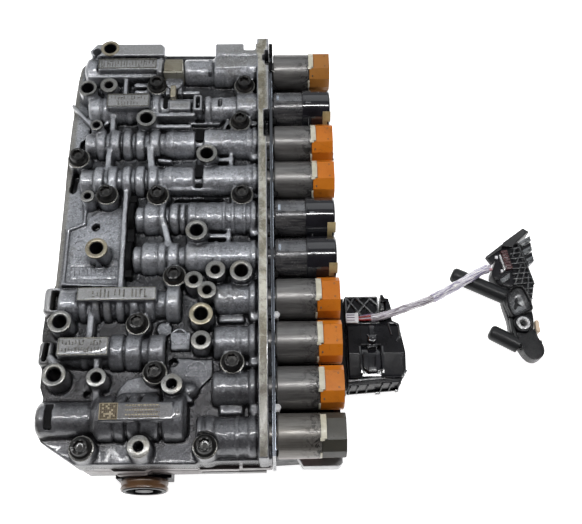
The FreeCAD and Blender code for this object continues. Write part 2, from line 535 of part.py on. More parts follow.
# --------------------------------------------------------------- bore plugs
plugs = []
for key, row in ROWS.items():
    a, b = row["plug"]
    rr = S["spool_bore"] - 0.1
    groove = (a + b) / 2
    p = [(a, 0), (a, rr - 0.6), (a + 0.6, rr), (groove - 0.9, rr), (groove - 0.9, rr - 1.4), (groove + 0.9, rr - 1.4),
         (groove + 0.9, rr), (b - 0.6, rr), (b, rr - 0.6), (b, 0)]
    plugs.append(solid_of(turned(p, 0, row["y"], S["axis_height"], "x")))
for y in (150.0, 120.0):
    p = [(-121.8, 0), (-121.8, 5.4), (-120.9, 6.9), (-116.4, 6.9), (-116.4, 0)]
    plugs.append(solid_of(turned(p, 0, y, S["axis_height"], "x")))
group("bore_plugs", plugs)

# ----------------------------------------------------------- spools, springs
springs = []
for key, row in ROWS.items():
    a, b = row["spool"]
    land, neck = S["spool_land"], S["spool_neck"]
    length = b - a
    n = 3 if length < 30 else (4 if length < 42 else 5)
    pitch = length / n
    p = [(0.0, 0.0), (0.0, land - 0.4), (0.4, land)]
    for k in range(n):
        x1 = (k + 0.52) * pitch if k < n - 1 else length
        if k < n - 1:
            p += [(x1, land), (x1 + 0.5, neck), ((k + 1) * pitch - 0.5, neck), ((k + 1) * pitch, land)]
        else:
            p += [(length - 0.4, land), (length, land - 0.4), (length, 0.0)]
    body = turned_body("spool", p)
    body.Label = "spool_row_" + key
    bind(body, "Placement.Base.x", "origin_x - %.4f" % (-a))
    bind(body, "Placement.Base.y", "origin_y + row_%s_y" % key)
    bind(body, "Placement.Base.z", "axis_height")
    PARTS["spool_row_" + key] = body
    s0, s1 = row["spring"]
    turns = 5
    wire = 0.55
    helix = Part.makeHelix((s1 - s0 - 2 * wire) / turns, s1 - s0 - 2 * wire, 5.6)
    # the wire has a six-sided section
    corners = [V(5.6 + wire * math.cos(math.pi * (k + 0.5) / 3), 0, wire * math.sin(math.pi * (k + 0.5) / 3)) for k in range(6)]
    profile = Part.Wire(Part.makePolygon(corners + corners[:1]).Edges)
    coil = Part.Wire(helix.Edges).makePipeShell([profile], True, True)
    coil.rotate(V(0, 0, 0), V(0, 1, 0), 90)
    coil.translate(V(s0 + wire, row["y"], S["axis_height"]))
    springs.append(solid_of(coil) if coil.Solids else coil)
group("valve_springs", springs)

# -------------------------------------------------------------- solenoids
for i, y in enumerate(SOLENOID_Y):
    n = i + 1
    letter = "abcdefghij"[i]
    dark = n in DARK
    rc = S["dark_can_radius"] if dark else S["can_radius"]
    left = -26.6
    nose = S["nose_radius"]
    end = -61.0 if y in (274.0, 240.0, 90.0, 60.0, 30.0, 0.0) else -68.0
    ring1, ring2 = -43.0, -54.0
    p = [(end, 2.1), (end, nose - 1.0), (end + 1.0, nose), (ring2 - 1.2, nose), (ring2 - 1.2, nose - 1.3), (ring2 + 1.2, nose - 1.3),
         (ring2 + 1.2, nose), (ring1 - 1.2, nose), (ring1 - 1.2, nose - 1.3), (ring1 + 1.2, nose - 1.3), (ring1 + 1.2, nose),
         (left, nose), (left, rc - 0.8), (left + 0.8, rc), (-0.8, rc), (0.0, rc - 0.6), (0.0, 0.0), (-3.6, 0.0),
         (-3.6, 6.6), (-22.5, 6.6), (-22.5, 2.1)]
    body = turned_body("can", p)
    place(body, "origin_x", "origin_y + solenoid_%s_y" % letter, "axis_height")
    name = "solenoid_can_%02d" % n
    body.Label = name
    PARTS[name] = body
    # armature with its pin, inside the can
    p = [(-48.0, 0.0), (-48.0, 1.6), (-47.6, 2.0), (-20.0, 2.0), (-20.0, 6.3), (-19.8, 6.5), (-4.2, 6.5), (-4.0, 6.3), (-4.0, 0.0)]
    body = turned_body("core", p)
    place(body, "origin_x", "origin_y + solenoid_%s_y" % letter, "axis_height")
    name = "armature_%02d" % n
    body.Label = name
    PARTS[name] = body


def cap_section(x0, x1, y, z, outline):
    pts = [V(x0, y + a, z + b) for (a, b) in outline]
    face = Part.Face(Part.makePolygon(pts + pts[:1]))
    return face.extrude(V(x1 - x0, 0, 0))


R = S["cap_radius"]
FACETED = [(-5.5, 12.9), (7.5, 12.9), (12.2, 7.6), (13.4, 0.0), (12.0, -6.4), (6.5, -12.6), (-6.5, -12.6),
           (-12.2, -7.6), (-13.5, 0.8), (-11.6, 8.2)]
orange, cream = [], []
for i, y in enumerate(SOLENOID_Y):
    n = i + 1
    if n in DARK:
        continue
    z = S["axis_height"]
    cap = cap_section(0.2, S["cap_long"], y, z, FACETED)
    cap = cap.cut(cap_section(0.0, 3.2, y, z, [(-5.5, 9.5), (14.5, 9.5), (14.5, 15.0), (-5.5, 15.0)]))
    cap = solid_of(cap)
    if n == 10:
        grey = [cap]
    else:
        orange.append(cap)
    t = Part.makeBox(3.6, 18.4, 3.6, V(-0.6, y - 5.2, z + 9.7))
    t = t.common(Part.makeCylinder(14.4, 20, V(-5, y, z), V(1, 0, 0)))
    t = t.cut(Part.makeCylinder(13.85, 5.15, V(-5.0, y, z), V(1, 0, 0)))
    cream.append(solid_of(t))
group("solenoid_caps_orange", orange)
group("solenoid_cap_grey", grey)
group("bobbin_tabs", cream)
black = []
for i, y in enumerate(SOLENOID_Y):
    if (i + 1) not in DARK:
        continue
    z = S["axis_height"]
    c = Part.makeCylinder(S["dark_cap_radius"], 20.0, V(-5.8, y, z), V(1, 0, 0))
    edges = [e for e in c.Edges if isinstance(e.Curve, Part.Circle)]
    c = c.makeFillet(1.4, edges)
    c = c.cut(Part.makeCylinder(S["dark_can_radius"] + 0.05, 6.0, V(-5.9, y, z), V(1, 0, 0)))
    black.append(solid_of(c))
group("solenoid_caps_black", black)

# ------------------------------------------------------- electronics module
sink_holes = [(x, y, "case_hole + 0.3") for (x, y, r) in CASE_BOSSES if y < 280.0]
finish("heat_sink_plate", pad_body("sink", [(-152.0, -11.0), (-34.0, -11.0), (-34.0, 281.0), (-152.0, 281.0), (-170.0, 270.0),
                                            (-170.0, 4.0)], 0.0, "sink_thick", sink_holes))
finish("electronics_housing", pad_body("housing", [(-131.0, -8.0), (-131.0, -17.0), (-95.0, -17.0), (-95.0, -8.0), (-36.0, -8.0), (12.0, -6.0), (12.0, 39.0),
                                                   (21.0, 39.0), (21.0, 106.0), (12.0, 106.0), (12.0, 281.0), (-36.0, 281.0),
                                                   (-152.0, 281.0), (-169.0, 270.0), (-169.0, 4.0), (-151.0, -8.0)],
                                       "sink_thick", "lower_base", sink_holes))
# frame under the solenoids that carries their contacts
frame = [box(-27.2, 14.0, -9.0, 284.0, "lower_base", 44.0)]
frame_cuts = [box(-24.0, 10.0, -6.0, 281.0, 30.0, 46.0)]
frame_cuts.append(tube_x(-30.0, 20.0, 257.0, 9.0, 44.0))
finish("contact_frame", cut(fuse(frame + [box(10.5, 16.5, 196.0, 226.0, 30.0, 42.0)], "contact_mass"),
                            fuse(frame_cuts, "contact_voids"), "contact"))

# block on the front face of the frame, below the last solenoid
finish("frame_foot", pad_body("foot", [(-10.8, -15.6), (11.6, -15.9), (14.0, -13.6), (14.0, -9.0), (-14.4, -9.0)], 34.0, 45.8))

# round plug at the front edge
main = Part.makeCylinder(S["plug_radius"], 7.5, V(-113.0, -17.0, S["plug_axis"]), V(0, -1, 0))
main = main.cut(Part.makeCylinder(11.6, 6.1, V(-113.0, -24.6, S["plug_axis"]), V(0, 1, 0)))
main = main.fuse(Part.makeCylinder(5.6, 6.8, V(-113.0, -17.5, S["plug_axis"]), V(0, -1, 0)))
o = doc.addObject("Part::Feature", "main_connector")
o.Shape = solid_of(main)
finish("main_connector", o)
ring = tube_y(-113.0, "plug_axis", -24.0, -17.4, "plug_ring_radius")
ring_hole = tube_y(-113.0, "plug_axis", -26.0, -15.0, "plug_radius + 0.02")
finish("connector_ring", cut(ring, ring_hole, "seal"))

# pressure damper in the back row
damper = [box(-106.0, -93.0, 262.9, 271.6, 62.3, 78.0), tube_z(-99.2, 274.0, 50.4, 70.0, 5.0),
          box(-106.0, -93.0, 270.0, 277.0, 62.3, 74.5)]
finish("pressure_damper", fuse(damper, "damper"))

# ---------------------------------------------------------- plug housing
hull = pad_body("plug_shell", [(21.2, 40.5), (57.0, 43.2), (61.0, 50.0), (61.6, 64.0), (58.4, 85.0), (54.0, 87.0), (52.6, 103.6), (46.6, 104.2),
                               (45.2, 92.0), (44.6, 104.4), (21.2, 104.4)], 8.0, 28.0)
hull_adds = [hull, pad_body("plug_crown", [(22.0, 45.5), (56.5, 48.5), (60.0, 52.0), (60.4, 63.0), (57.0, 83.2), (22.0, 81.0)], 27.0, 34.0),
             box(47.0, 52.4, 94.5, 103.4, 27.0, 33.0), tube_z(38.4, 69.0, 33.0, 37.5, 3.6)]
hull_cuts = [box(33.0, 50.0, 38.0, 52.0, 12.0, 22.0), box(25.0, 30.0, 38.0, 52.0, 12.0, 22.0),
             box(24.0, 43.0, 94.0, 102.5, 20.0, 30.0), box(31.0, 43.6, 44.0, 66.2, 30.5, 40.0)]
finish("plug_housing", cut(fuse(hull_adds, "plug_mass"), fuse(hull_cuts, "plug_voids"), "plug"))
# locking slide on the plug housing
slide = [box(31.4, 34.2, 49.6, 62.0, 30.7, 35.5), box(40.4, 43.2, 49.6, 62.0, 30.7, 35.5), box(31.4, 43.2, 48.0, 50.8, 30.7, 36.5)]
finish("plug_latch", fuse(slide, "latch"))

# ------------------------------------------------------ cable and its plug
cable_plug = Part.makeBox(8.6, 7.6, 6.0, V(21.4, 83.0, 28.2))
for k in range(3):
    cable_plug = cable_plug.cut(Part.makeBox(5.0, 0.8, 1.0, V(22.4, 84.2 + 2.2 * k, 33.6)))
o = doc.addObject("Part::Feature", "cable_plug")
o.Shape = solid_of(cable_plug)
finish("cable_plug", o)

ROUTE = [(30.0, 86.8, 31.2), (39.5, 86.8, 31.2), (51.0, 89.6, 31.9), (62.5, 94.8, 29.0), (73.5, 100.2, 24.2), (84.0, 105.6, 19.2),
         (94.5, 112.0, 15.4), (104.6, 118.3, 12.9), (114.8, 124.1, 11.9), (124.67, 130.79, 11.6), (132.3, 133.2, 11.6)]


def rounded_path(points):
    # straight runs joined by tangent arcs
    pts = [V(*p) for p in points]
    edges, start, length = [], pts[0], 0.0
    for i in range(1, len(pts) - 1):
        a, b, c = pts[i - 1], pts[i], pts[i + 1]
        u, w = (a - b), (c - b)
        short = min(u.Length, w.Length)
        u.normalize()
        w.normalize()
        turn = math.pi - u.getAngle(w)
        radius = 0.45 * short / math.tan(turn / 2)
        back = 0.45 * short
        p, q = b + u * back, b + w * back
        bis = (u + w)
        bis.normalize()
        centre = b + bis * (radius / math.cos(turn / 2))
        mid = centre - bis * radius
        print("cable point %d: turn %.1f deg, radius %.1f mm, run %.1f mm" % (i, math.degrees(turn), radius, (b - a).Length))
        edges.append(Part.LineSegment(start, p).toShape())
        edges.append(Part.Arc(p, mid, q).toShape())
        start = q
    edges.append(Part.LineSegment(start, pts[-1]).toShape())
    return Part.Wire(edges)


path = rounded_path(ROUTE)
first = V(*ROUTE[1]) - V(*ROUTE[0])
circle = Part.Wire([Part.makeCircle(S["cable_radius"], V(*ROUTE[0]), first)])
cable = path.makePipeShell([circle], True, True)
print("cable length %.2f mm, volume %.1f, section times length %.1f" % (path.Length, cable.Volume,
                                                                     math.pi * S["cable_radius"] ** 2 * path.Length))
o = doc.addObject("Part::Feature", "signal_cable")
o.Shape = solid_of(cable)
finish("signal_cable", o)

# -------------------------------------------------------- position sensor
finish("sensor_connector", cut(fuse([
    pad_body("socket", [(135.5, 123.1), (148.2, 130.3), (149.3, 143.5), (155.0, 155.6), (158.0, 156.0), (165.0, 162.0), (160.0, 165.2),
                        (143.0, 152.6), (129.4, 142.4)], 0.0, 14.0),
    box(157.8, 165.6, 146.0, 158.0, 0.0, 8.0)], "socket_mass"),
    fuse([box(140.0, 147.0, 133.0, 146.0, 10.5, 16.0)], "socket_voids"), "socket_done"))
finish("sensor_lock", fuse([box(140.2, 146.8, 133.2, 145.8, 10.7, 14.2), box(140.8, 146.2, 133.8, 145.2, 14.0, 15.0)], "lock"))
ARM = [(138.5, 108.5), (142.0, 116.0), (149.6, 121.5), (149.8, 143.0), (155.2, 154.6), (157.4, 145.4), (163.6, 122.0), (160.4, 107.0),
       (157.6, 94.5), (162.8, 70.0), (149.0, 67.0), (143.4, 78.4), (141.6, 94.5)]
bracket = [pad_body("arm", ARM, 0.0, 11.0), tube_z(155.9, 69.0, 0.0, 11.0, 7.2), tube_z(150.3, 89.3, 0.0, "bracket_top - 1", 6.6)]
bracket_cuts = [tube_z(150.3, 89.3, -1.0, 16.0, "bush_radius + 0.01"), tube_z(151.6, 112.4, 6.0, 16.0, 5.6), tube_z(149.6, 103.6, 6.0, 16.0, 4.6),
                box(151.8, 159.5, 122.0, 140.0, 8.0, 16.0)]
finish("sensor_bracket", cut(fuse(bracket, "arm_mass"), fuse(bracket_cuts, "arm_voids"), "arm_done"))
finish("bracket_bush", cut(tube_z(150.3, 89.3, 0.0, "bracket_top", "bush_radius"), tube_z(150.3, 89.3, -1.0, 16.0, "bush_bore"), "bush"))


def stick(name, p, q, r):
    # a round stick that lies flat: its free end is rounded off, the other ends on the bracket
    long = math.hypot(q[0] - p[0], q[1] - p[1])
    turn = math.degrees(math.atan2(q[1] - p[1], q[0] - p[0]))
    rod = turned([(-2.9, 0), (-2.9, r - 2.3), (-2.2, r - 1.1), (-1.2, r - 0.3), (0, r), (long, r), (long, 0)], 0, 0, 0, "x")
    rod.rotate(V(0, 0, 0), V(0, 0, 1), turn)
    rod.translate(V(p[0], p[1], r))
    arm = Part.Face(Part.makePolygon([V(x, y, -1) for (x, y) in ARM + ARM[:1]])).extrude(V(0, 0, 12.0))
    o = doc.addObject("Part::Feature", name)
    o.Shape = solid_of(rod.cut(arm))
    finish(name, o)


stick("sensor_stick_long", (106.8, 130.0), (143.0, 111.8), 4.6)
stick("sensor_stick_short", (129.6, 84.4), (147.5, 74.0), 4.5)

# ------------------------------------------------------------------ output
doc.recompute()
bad = [o.Name for o in doc.Objects if "Invalid" in o.State or "Error" in o.State]
if bad:
    raise SystemExit("failed objects: " + ", ".join(bad))
box_all, box_unit = FreeCAD.BoundBox(), FreeCAD.BoundBox()
CORD = ("signal_cable", "cable_plug", "sensor_connector", "sensor_lock", "sensor_bracket", "bracket_bush",
        "sensor_stick_long", "sensor_stick_short")
for name, obj in PARTS.items():
    shape = obj.Shape
    if shape.isNull() or not shape.isValid() or not shape.Solids:
        raise SystemExit("bad shape: " + name)
    if "stick" in name and len(shape.Solids) != 1:
        raise SystemExit("cut in two: " + name)
    box_all.add(shape.BoundBox)
    if name not in CORD:
        box_unit.add(shape.BoundBox)
for name in ("signal_cable", "sensor_bracket", "sensor_connector", "valve_springs"):
    print(name, "lowest point", round(PARTS[name].Shape.optimalBoundingBox(True).ZMin, 3))
for name, obj in PARTS.items():
    obj.Shape.exportStep("parts/%s.step" % name)
    print("%-24s solids %2d faces %4d volume %9.0f" % (name, len(obj.Shape.Solids), len(obj.Shape.Faces), obj.Shape.Volume))
print(len(PARTS), "parts; unit box", box_unit, "all", box_all)
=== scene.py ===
import math
import random
import bmesh
import bpy
import numpy as np
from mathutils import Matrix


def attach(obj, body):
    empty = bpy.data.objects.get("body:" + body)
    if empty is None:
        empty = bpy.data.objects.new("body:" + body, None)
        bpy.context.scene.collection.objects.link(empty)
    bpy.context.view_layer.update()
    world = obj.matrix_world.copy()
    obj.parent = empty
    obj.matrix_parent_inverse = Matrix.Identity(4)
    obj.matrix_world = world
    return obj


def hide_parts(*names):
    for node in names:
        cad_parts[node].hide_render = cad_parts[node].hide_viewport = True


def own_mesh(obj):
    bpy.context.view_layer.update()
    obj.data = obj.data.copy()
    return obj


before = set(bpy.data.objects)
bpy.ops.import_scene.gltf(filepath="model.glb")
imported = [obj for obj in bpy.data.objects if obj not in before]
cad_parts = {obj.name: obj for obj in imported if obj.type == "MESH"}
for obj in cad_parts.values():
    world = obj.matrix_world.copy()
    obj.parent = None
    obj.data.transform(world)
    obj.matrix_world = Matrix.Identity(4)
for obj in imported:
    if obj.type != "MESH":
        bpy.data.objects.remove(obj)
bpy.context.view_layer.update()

import openvdb
from mathutils import Matrix, Vector

# A valve body seen from above its front edge. Tables are in bench
# millimetres (X = 0 at the solenoid caps, Y = 0 at the front solenoid's axis,
# Z = 0 on the table); every piece is then moved to the shared frame.
SX, SY = 57.9, -136.25
SOLENOID_Y = [274.0, 240.0, 210.0, 180.0, 150.0, 120.0, 90.0, 60.0, 30.0, 0.0]
DARK = (2, 5, 6)
AX = 60.5


def at(x, y, z):
    return Vector(((x + SX) / 1000.0, (y + SY) / 1000.0, z / 1000.0))




# -------------------------------------------------------------- mesh helpers
class Piece:
    """Collects closed shells in bench millimetres and becomes one object."""

    def __init__(self, name, materials, body="root", sharp=38.0):
        self.name, self.materials, self.body, self.sharp = name, materials, body, sharp
        self.v, self.f, self.m = [], [], []

    def add(self, shell, mat=0):
        verts, faces = shell
        base = len(self.v)
        self.v.extend(verts)
        self.f.extend([tuple(i + base for i in face) for face in faces])
        self.m.extend([mat] * len(faces))
        return self

    def make(self, replaces=()):
        mesh = bpy.data.meshes.new(self.name)
        mesh.from_pydata([at(*p) for p in self.v], [], self.f)
        bm = bmesh.new()
        bm.from_mesh(mesh)
        bm.faces.ensure_lookup_table()
        for face, k in zip(bm.faces, self.m):
            face.material_index = k
        bmesh.ops.recalc_face_normals(bm, faces=bm.faces[:])
        bm.to_mesh(mesh)
        bm.free()
        mesh.polygons.foreach_set("use_smooth", [True] * len(mesh.polygons))
        mesh.set_sharp_from_angle(angle=math.radians(self.sharp))
        for mat in self.materials:
            mesh.materials.append(mat)
        obj = bpy.data.objects.new(self.name, mesh)
        bpy.context.scene.collection.objects.link(obj)
        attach(obj, self.body)
        if replaces:
            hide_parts(*replaces)
        return obj


def rings(levels, place, closed_a=True, closed_b=True, loop=False):
    """Shell from rings of equal count: levels is a list of lists of 3-vectors."""
    n = len(levels[0])
    verts = [place(p) for ring in levels for p in ring]
    faces = []
    count = len(levels)
    for i in range(count if loop else count - 1):
        a, b = i * n, ((i + 1) % count) * n
        for k in range(n):
            faces.append((a + k, a + (k + 1) % n, b + (k + 1) % n, b + k))
    if not loop:
        if closed_a:
            faces.append(tuple(range(n)))
        if closed_b:
            faces.append(tuple((count - 1) * n + k for k in range(n)))
    return verts, faces


def lathe(profile, centre, axis="z", segs=56, loop=False, shape=None):
    """profile: (along, radius); shape(theta, i) scales the radius of level i."""
    levels = []
    for i, (a, r) in enumerate(profile):
        ring = []
        for k in range(segs):
            t = 2 * math.pi * k / segs
            q = r * (shape(t, i) if shape else 1.0)
            c, s = q * math.cos(t), q * math.sin(t)
            if axis == "z":
                ring.append((centre[0] + c, centre[1] + s, centre[2] + a))
            elif axis == "x":
                ring.append((centre[0] + a, centre[1] + c, centre[2] + s))
            else:
                ring.append((centre[0] + c, centre[1] + a, centre[2] + s))
        levels.append(ring)
    return rings(levels, lambda p: p, loop=loop)


def bm_shell(bm, plane="xy"):
    bm.verts.ensure_lookup_table()
    bm.verts.index_update()
    out = []
    for v in bm.verts:
        a, b, h = v.co
        out.append((a, b, h) if plane == "xy" else ((h, a, b) if plane == "yz" else (a, h, b)))
    faces = [tuple(v.index for v in f.verts) for f in bm.faces]
    bm.free()
    return out, faces


def prism(points, h0, h1, plane="xy", bevel=0.4, segs=2):
    bm = bmesh.new()
    low = [bm.verts.new((a, b, h0)) for a, b in points]
    face = bm.faces.new(low)
    grown = bmesh.ops.extrude_face_region(bm, geom=[face])
    bmesh.ops.translate(bm, verts=[g for g in grown["geom"] if isinstance(g, bmesh.types.BMVert)], vec=(0, 0, h1 - h0))
    bmesh.ops.recalc_face_normals(bm, faces=bm.faces[:])
    if bevel:
        bmesh.ops.bevel(bm, geom=bm.edges[:], offset=bevel, segments=segs, profile=0.62, affect="EDGES", clamp_overlap=True)
    return bm_shell(bm, plane)


def rbox(x0, x1, y0, y1, z0, z1, bevel=0.4, segs=2):
    return prism([(x0, y0), (x1, y0), (x1, y1), (x0, y1)], z0, z1, "xy", bevel, segs)


def round_poly(points, r, n=5):
    out = []
    count = len(points)
    for i in range(count):
        a, b, c = (Vector(points[(i + k) % count]).to_2d() for k in (-1, 0, 1))
        u, w = (a - b), (c - b)
        rr = min(r, u.length * 0.45, w.length * 0.45)
        u.normalize()
        w.normalize()
        for k in range(n):
            t = k / (n - 1)
            p = b + u * rr * (1 - t) ** 2 + w * rr * t ** 2
            out.append((p.x, p.y))
    return out


def moved(shell, angle=0.0, pivot=(0, 0, 0), axis="z", shift=(0, 0, 0)):
    rot = Matrix.Rotation(math.radians(angle), 3, axis.upper())
    pv, sh = Vector(pivot), Vector(shift)
    return [tuple(rot @ (Vector(p) - pv) + pv + sh) for p in shell[0]], shell[1]


def slab_bar(p, q, width, z0, z1, bevel=0.3):
    dx, dy = q[0] - p[0], q[1] - p[1]
    n = math.hypot(dx, dy)
    ux, uy = -dy / n * width / 2, dx / n * width / 2
    return prism([(p[0] - ux, p[1] - uy), (q[0] - ux, q[1] - uy), (q[0] + ux, q[1] + uy), (p[0] + ux, p[1] + uy)], z0, z1, "xy", bevel)


def rod(p, q, r, segs=16, cap=0.25):
    """Round bar between two points with eased ends."""
    a, b = Vector(p), Vector(q)
    w = (b - a)
    n = w.length
    w.normalize()
    side = w.cross(Vector((0, 0, 1)))
    if side.length < 1e-6:
        side = Vector((1, 0, 0))
    side.normalize()
    up = side.cross(w)
    levels = []
    for (d, rr) in ((0, r - cap), (cap, r), (n - cap, r), (n, r - cap)):
        c = a + w * d
        levels.append([tuple(c + side * (rr * math.cos(2 * math.pi * k / segs)) + up * (rr * math.sin(2 * math.pi * k / segs))) for k in range(segs)])
    return rings(levels, lambda p: p)


# ----------------------------------------------------------------- materials
class Nodes:
    def __init__(self, name):
        self.mat = bpy.data.materials.new(name)
        self.mat.use_nodes = True
        self.tree = self.mat.node_tree
        self.tree.nodes.clear()
        self.out = self.tree.nodes.new("ShaderNodeOutputMaterial")
        self.bsdf = self.tree.nodes.new("ShaderNodeBsdfPrincipled")
        self.tree.links.new(self.bsdf.outputs[0], self.out.inputs[0])
        self.coord = self.tree.nodes.new("ShaderNodeTexCoord").outputs["Object"]

    def link(self, a, b):
        self.tree.links.new(a, b)

    def noise(self, scale, detail=3.0, rough=0.6, stretch=None, distort=0.0):
        n = self.tree.nodes.new("ShaderNodeTexNoise")
        n.inputs["Scale"].default_value = scale
        n.inputs["Detail"].default_value = detail
        n.inputs["Roughness"].default_value = rough
        n.inputs["Distortion"].default_value = distort
        src = self.coord
        if stretch:
            m = self.tree.nodes.new("ShaderNodeMapping")
            m.inputs["Scale"].default_value = stretch
            self.link(self.coord, m.inputs[0])
            src = m.outputs[0]
        self.link(src, n.inputs["Vector"])
        return n.outputs["Fac"]

    def voronoi(self, scale, feature="F1"):
        n = self.tree.nodes.new("ShaderNodeTexVoronoi")
        n.feature = feature
        n.inputs["Scale"].default_value = scale
        self.link(self.coord, n.inputs["Vector"])
        return n.outputs["Distance"]

    def ramp(self, fac, stops):
        n = self.tree.nodes.new("ShaderNodeValToRGB")
        el = n.color_ramp.elements
        while len(el) > 1:
            el.remove(el[-1])
        el[0].position, el[0].color = stops[0][0], (*stops[0][1], 1.0)
        for pos, col in stops[1:]:
            e = el.new(pos)
            e.color = (*col, 1.0)
        self.link(fac, n.inputs[0])
        return n.outputs[0]

    def span(self, fac, a, b, c=0.0, d=1.0):
        n = self.tree.nodes.new("ShaderNodeMapRange")
        n.inputs["From Min"].default_value = a
        n.inputs["From Max"].default_value = b
        n.inputs["To Min"].default_value = c
        n.inputs["To Max"].default_value = d
        self.link(fac, n.inputs["Value"])
        return n.outputs[0]

    def mix(self, fac, a, b, mode="MIX"):
        n = self.tree.nodes.new("ShaderNodeMix")
        n.data_type = "RGBA"
        n.blend_type = mode
        for sock, val in ((n.inputs[0], fac), (n.inputs[6], a), (n.inputs[7], b)):
            if isinstance(val, (int, float)):
                sock.default_value = val
            elif isinstance(val, tuple):
                sock.default_value = (*val, 1.0)
            else:
                self.link(val, sock)
        return n.outputs[2]

    def math(self, op, a, b=0.0, clamp=False):
        n = self.tree.nodes.new("ShaderNodeMath")
        n.operation = op
        n.use_clamp = clamp
        for sock, val in ((n.inputs[0], a), (n.inputs[1], b)):
            if isinstance(val, (int, float)):
                sock.default_value = val
            else:
                self.link(val, sock)
        return n.outputs[0]

    def attr(self, name):
        n = self.tree.nodes.new("ShaderNodeAttribute")
        n.attribute_name = name
        return n.outputs["Fac"]

    def axis(self, k):
        n = self.tree.nodes.new("ShaderNodeSeparateXYZ")
        self.link(self.coord, n.inputs[0])
        return n.outputs[k]

    def bump(self, height, strength, distance, normal=None):
        n = self.tree.nodes.new("ShaderNodeBump")
        n.inputs["Strength"].default_value = strength
        n.inputs["Distance"].default_value = distance
        self.link(height, n.inputs["Height"])
        if normal is not None:
            self.link(normal, n.inputs["Normal"])
        return n.outputs[0]

    def finish(self, color, rough, metal, normal=None, coat=0.0, coat_rough=0.1, spec=0.5, coat_normal=None):
        b = self.bsdf
        for sock, val in (("Base Color", color), ("Roughness", rough), ("Metallic", metal)):
            if isinstance(val, tuple):
                b.inputs[sock].default_value = (*val, 1.0)
            elif isinstance(val, (int, float)):
                b.inputs[sock].default_value = val
            else:
                self.link(val, b.inputs[sock])
        if normal is not None:
            self.link(normal, b.inputs["Normal"])
        if isinstance(coat, (int, float)):
            b.inputs["Coat Weight"].default_value = coat
        else:
            self.link(coat, b.inputs["Coat Weight"])
        if coat_normal is not None:
            self.link(coat_normal, b.inputs["Coat Normal"])
        b.inputs["Coat Roughness"].default_value = coat_rough
        b.inputs["Specular IOR Level"].default_value = spec
        return self.mat


def plain(name, c1, c2, rough, metal=0.0, grain=900.0, bump=0.25, depth=0.00006, coat=0.0, coat_rough=0.1, blotch=60.0,
          dirt=None, dirt_span=(0.52, 0.72), stretch=None, rough_var=0.12, spec=0.5, fine=0.0, wet=0.0):
    """Two-tone body colour with grain, blotches and optional dirt."""
    n = Nodes(name)
    base = n.mix(n.span(n.noise(blotch, 4, 0.6, stretch), 0.35, 0.65), c1, c2)
    if dirt:
        base = n.mix(n.span(n.noise(blotch * 0.55, 6, 0.72, distort=0.6), dirt_span[0], dirt_span[1], 0.0, 0.85), base, dirt)
    g = n.noise(grain, 3, 0.6, stretch)
    rough_s = n.span(n.noise(blotch * 2.1, 4, 0.65, stretch), 0.3, 0.7, max(0.04, rough - rough_var), rough + rough_var)
    normal = n.bump(g, bump, depth)
    if fine:
        normal = n.bump(n.voronoi(fine), 0.3, depth, normal)
    top = n.bump(n.noise(620.0, 3, 0.7), wet, 0.0004) if wet else None
    return n.finish(base, rough_s, metal, normal, coat, coat_rough, spec, top)


# -------------------------------------------------------------------- camera
E, PSI, RHO = math.radians(65.0), math.radians(2.52), math.radians(1.59)
fwd = Vector((math.sin(PSI) * math.cos(E), math.cos(PSI) * math.cos(E), -math.sin(E)))
right = Vector((math.cos(PSI), -math.sin(PSI), 0.0))
up = right.cross(fwd)
cam_x = right * math.cos(RHO) + up * math.sin(RHO)
cam_y = -right * math.sin(RHO) + up * math.cos(RHO)
cam_data = bpy.data.cameras.new("view_camera")
cam_data.sensor_fit = "HORIZONTAL"
cam_data.sensor_width = 36.0
cam_data.lens = 806.65 / 582.0 * 36.0
cam_data.clip_start = 0.01
cam = bpy.data.objects.new("view_camera", cam_data)
bpy.context.scene.collection.objects.link(cam)
pose = Matrix((cam_x, cam_y, -fwd)).transposed().to_4x4()
pose.translation = at(-26.13, -111.64, 551.71)
cam.matrix_world = pose
bpy.context.scene.camera = cam

# --------------------------------------------------------------------- cable
# Bench millimetres: out of the white plug, over the plug housing and the long
# stick, into the sensor's connector.
ROUTE = [(30.0, 86.8, 31.2), (39.5, 86.8, 31.2), (51.0, 89.6, 31.9), (62.5, 94.8, 29.0), (73.5, 100.2, 24.2),
         (84.0, 105.6, 19.2), (94.5, 112.0, 15.4), (104.6, 118.3, 13.2), (114.8, 124.1, 12.6), (124.67, 130.79, 11.8),
         (132.3, 133.2, 11.6)]
WIDE = [0.40, 0.42, 0.96, 1.0, 1.0, 1.0, 1.0, 1.0, 1.0, 1.0, 0.98]


def route_curve(name, points, radius, widths=None):
    data = bpy.data.curves.new(name, "CURVE")
    data.dimensions = "3D"
    data.bevel_depth = 1.0 if radius else 0.0
    data.bevel_resolution = 6
    data.resolution_u = 14
    data.use_fill_caps = True
    line = data.splines.new("NURBS")
    line.points.add(len(points) - 1)
    for i, p in enumerate(points):
        line.points[i].co = (*at(*p), 1.0)
        line.points[i].radius = radius * widths[i] if widths else 0.001
    line.order_u = 3
    line.use_endpoint_u = True
    obj = bpy.data.objects.new(name, data)
    bpy.context.scene.collection.objects.link(obj)
    return obj


def line_of(points):
    """Points along the cable's own line, read from its spline."""
    probe = route_curve("probe_line", points, 0.0)
    bpy.context.view_layer.update()
    mesh = bpy.data.meshes.new_from_object(probe)
    pts = [v.co.copy() for v in mesh.vertices]
    bpy.data.meshes.remove(mesh)
    bpy.data.objects.remove(probe)
    if (pts[0] - at(*points[0])).length > (pts[-1] - at(*points[0])).length:
        pts.reverse()
    return pts


cable_line = line_of(ROUTE)
sleeve = route_curve("cable_sleeve", ROUTE, 0.0025, WIDE)
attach(sleeve, "root")
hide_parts("signal_cable")


